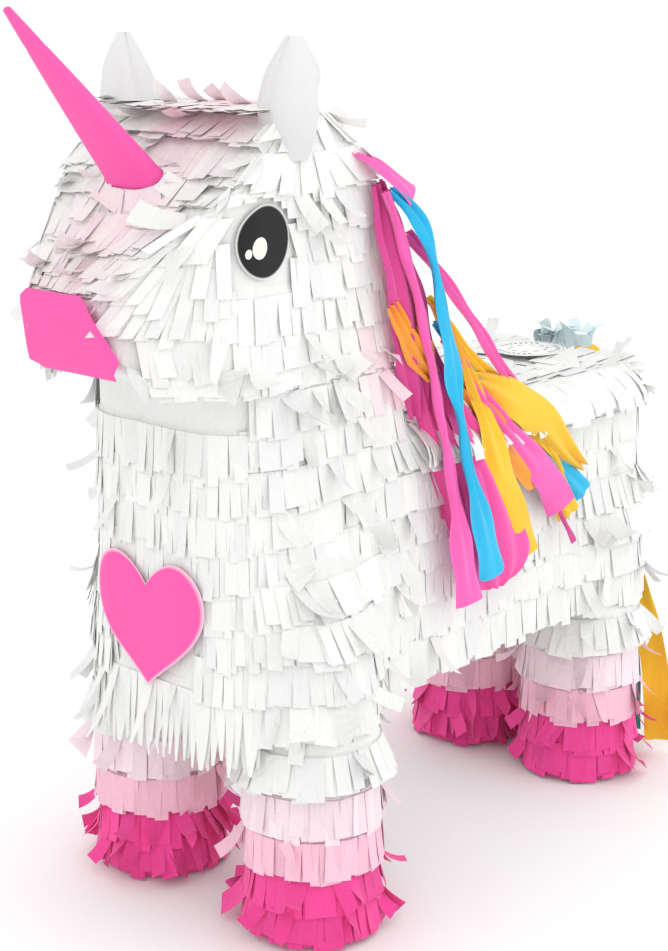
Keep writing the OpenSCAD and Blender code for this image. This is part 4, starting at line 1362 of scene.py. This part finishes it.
class PINATA_OT_mane(Maker):
    """The mane: gathered tissue down the nape, streamers of crepe paper and a broad hot-pink strip"""

    bl_idname = "pinata.mane"
    bl_label = "Mane"

    def make(self, shape, fringe, colours):
        rng = np.random.default_rng(fringe.seed + 3)
        for name, tints, slot, node, options, line in MANE:
            line = np.array(line, float)
            long = name.startswith("long_")
            start = high(node)[0] if long else low("mane_header")[0]
            paints = [getattr(colours, tint) for tint in tints]
            ribbon(
                name, line[:, :3] + [start * 1000, 0, 0], line[:, 3], line[:, 4],
                colour=paints[0], slot=slot, body="long_streamers" if long else "root",
                replaces=(node,) if node else (), rng=rng, hot=paints[1] if paints[1:] else None,
                **{"facing": (1.0, -0.25, 0), **options},
            )


class PINATA_OT_tail(Maker):
    """The tail: crepe streamers fanned from a knotted band, under a tuft of pale-blue tissue"""

    bl_idname = "pinata.tail"
    bl_label = "Tail"

    def make(self, shape, fringe, colours):
        rng = np.random.default_rng(fringe.seed + 4)
        top = middle("tail_band")
        back = (0.25, 1.0, 0)
        fans = (
            ("tail_yellow", colours.yellow, "yellow_crepe", (82, -44)),
            ("tail_teal", colours.teal, "teal_crepe", (54, -68)),
            ("tail_pink", colours.streamer_pink, "pink_crepe", (20, -18)),
        )
        for node, colour, slot, spreads in fans:
            y = low(node)[1] * 1000 + 1
            for k, s in enumerate(spreads):
                line = [
                    [0.12 * s, y, top[2] * 1000 - 6],
                    [0.16 * s, y + 1, 222],
                    [0.60 * s, y + 1, 145],
                    [0.92 * s, y + 3, 72],
                    [1.02 * s, y + 2, 8],
                ]
                swing = rng.uniform(-12, 12, 5) + np.sign(s) * np.array([0, 10, 34, 46, 46])
                side = "left" if k == 0 else "right"
                ribbon(
                    f"{node}_{side}", line, [7, 13, 19, 20, 20], swing, back, colour, slot, "tail",
                    (node,) if k == 0 else (), rng,
                )
        self.band(top, colours)
        self.tuft(rng, colours)

    def band(self, top, colours):
        """A bundled knot: an oval roll along x whose radius swells in its middle and is creased round it."""
        size = high("tail_band") - low("tail_band")
        a, v = np.meshgrid(np.linspace(0, 2 * math.pi, 48, endpoint=False), np.linspace(-1, 1, 33))
        crease = np.cos(7 * a + 4 * v)
        radius = 0.5 * size[1] * np.sqrt(np.maximum(1 - np.abs(v) ** 3.2, 0.02)) * (0.92 + 0.05 * crease)
        points = top + np.stack([v * size[0] / 2, radius * np.cos(a), radius * np.sin(a)], -1)
        paint = plain_paint(colours.yellow)(points.reshape(-1, 3), crease.reshape(-1, 1))
        surface(
            "tail_knot", points, streamer(), paint, ("tail_band",),
            body="tail", thick=0.0003, wrap=True,
        )

    def tuft(self, rng, colours):
        """Loops of loose tissue: short strips that rise, curl over and fall at seeded angles."""
        foot_low, foot_high = low("tail_tuft"), high("tail_tuft")
        n = 24
        x = rng.uniform(foot_low[0], foot_high[0], n)
        y = rng.uniform(foot_low[1], foot_high[1], n)
        base = np.column_stack([x, y, np.full(n, foot_low[2])])
        base[:, 2] += rng.uniform(0, 0.006, n)
        heading = rng.uniform(0, 2 * math.pi, n)
        along = np.column_stack([np.cos(heading), np.sin(heading), 0 * heading])
        down = np.column_stack([0.25 * rng.normal(size=n), 0.2 * rng.normal(size=n) - 0.05, np.ones(n)])
        out = unit(np.cross(along, unit(down)))
        heap = Heap()
        tabs = cut_tabs(
            base, unit(np.cross(unit(down), out)), unit(down), out, rng.uniform(0.006, 0.010, n),
            rng.uniform(0.014, 0.024, n), rng.uniform(-0.2, 0.2, n), rng.uniform(0.6, 2.2, n),
            rng.normal(size=n) * 0.6, rng.normal(size=n) * 0.2, 0.0, 9,
        )
        heap.strips(tabs, plain_paint(colours.pale_blue)(base, rng.uniform(-1, 1, (n, 1))))
        heap_object(
            heap, "tail_tuft_tissue", coloured_tissue(), replaces=("tail_tuft",)
        )


SKY = 1.07  # strength of the white light from all round
# Each light's name, place, width and power in watts
LIGHTS = (
    ("key_light", (1.3, -1.6, 1.9), 1.2, 4),
    ("fill_light", (-1.8, -1.2, 1.2), 1.6, 1),
    ("rear_light", (1.7, 0.9, 1.1), 1.2, 5),
)
LIT_POINT = (0, 0, 0.25)  # what the lights face
CAMERA_AT = (0.7483, -0.8463, 0.5437)
CAMERA_AIM = (-0.6472, 0.7181, -0.2560)
CAMERA_LENS, CAMERA_SENSOR = 69.31, 36  # mm


class PINATA_OT_stage(Maker):
    """A pale floor, soft studio light and the camera"""

    bl_idname = "pinata.stage"
    bl_label = "Stage"

    def make(self, shape, fringe, colours):
        floor = self.floor()
        world = bpy.data.worlds.new("studio")
        world.use_nodes = True
        sky = world.node_tree.nodes["Background"]
        sky.inputs["Color"].default_value = (1, 1, 1, 1)
        sky.inputs["Strength"].default_value = SKY
        bpy.context.scene.world = world
        key, fill, rim = [self.light(*values) for values in LIGHTS]
        camera = bpy.data.cameras.new("camera")
        camera.lens, camera.sensor_width = CAMERA_LENS, CAMERA_SENSOR
        camera.clip_start, camera.clip_end = 0.05, 50
        eye = placed("camera", camera)
        eye.location = CAMERA_AT
        eye.rotation_euler = Vector(CAMERA_AIM).to_track_quat("-Z", "Y").to_euler()
        bpy.context.scene.camera = eye
        bpy.context.scene.view_settings.view_transform = "Standard"

    def floor(self):
        mesh = bpy.data.meshes.new("floor")
        mesh.from_pydata([(-6, -6, 0), (6, -6, 0), (6, 6, 0), (-6, 6, 0)], [], [(0, 1, 2, 3)])
        obj = placed("floor", mesh)
        material, tree, shader = new_material("studio_paper", 0.9)
        where = add(tree, "TexCoord")
        grain = add(tree, "TexNoise", values={"Scale": 3.0}, links={"Vector": where.outputs["Object"]})
        mottle = {"Value": grain.outputs["Fac"]}
        tone = add(tree, "MapRange", values={"To Min": 0.99, "To Max": 1.0}, links=mottle)
        tree.links.new(tone.outputs["Result"], shader.inputs["Base Color"])
        mesh.materials.append(material)
        return obj

    def light(self, name, place, size, watts):
        lamp = bpy.data.lights.new(name, "AREA")
        lamp.size, lamp.energy = size, watts
        obj = placed(name, lamp)
        obj.location = place
        obj.rotation_euler = (Vector(LIT_POINT) - Vector(place)).to_track_quat("-Z", "Y").to_euler()
        return obj


OPERATORS = (
    PINATA_OT_card,
    PINATA_OT_underlay,
    PINATA_OT_body_fringe,
    PINATA_OT_head_fringe,
    PINATA_OT_legs,
    PINATA_OT_horn,
    PINATA_OT_ears,
    PINATA_OT_eyes,
    PINATA_OT_patches,
    PINATA_OT_label,
    PINATA_OT_mane,
    PINATA_OT_tail,
    PINATA_OT_stage,
)


class PINATA_PT_panel(bpy.types.Panel):
    """Lists the steps that dress the pinata"""

    bl_label = "Pinata"
    bl_idname = "PINATA_PT_panel"
    bl_space_type = "VIEW_3D"
    bl_region_type = "UI"
    bl_category = "Pinata"

    def draw(self, context):
        for group in (context.scene.pinata_shape, context.scene.pinata_fringe, context.scene.pinata_colours):
            box = self.layout.box()
            for name in group.bl_rna.properties.keys():
                if name not in ("rna_type", "name"):
                    box.prop(group, name)
        for operator in OPERATORS:
            self.layout.operator(operator.bl_idname)


GROUPS = {"pinata_shape": PinataShape, "pinata_fringe": PinataFringe, "pinata_colours": PinataColours}


def register():
    for group in GROUPS.values():
        bpy.utils.register_class(group)
    for operator in OPERATORS + (PINATA_PT_panel,):
        bpy.utils.register_class(operator)
    for name, group in GROUPS.items():
        setattr(bpy.types.Scene, name, PointerProperty(type=group))


def unregister():
    for name in GROUPS:
        delattr(bpy.types.Scene, name)
    for operator in reversed(OPERATORS + (PINATA_PT_panel,)):
        bpy.utils.unregister_class(operator)
    for group in reversed(GROUPS.values()):
        bpy.utils.unregister_class(group)


def main():
    register()
    for operator in OPERATORS:
        family, name = operator.bl_idname.split(".")
        getattr(getattr(bpy.ops, family), name)()


if __name__ == "__main__":
    main()
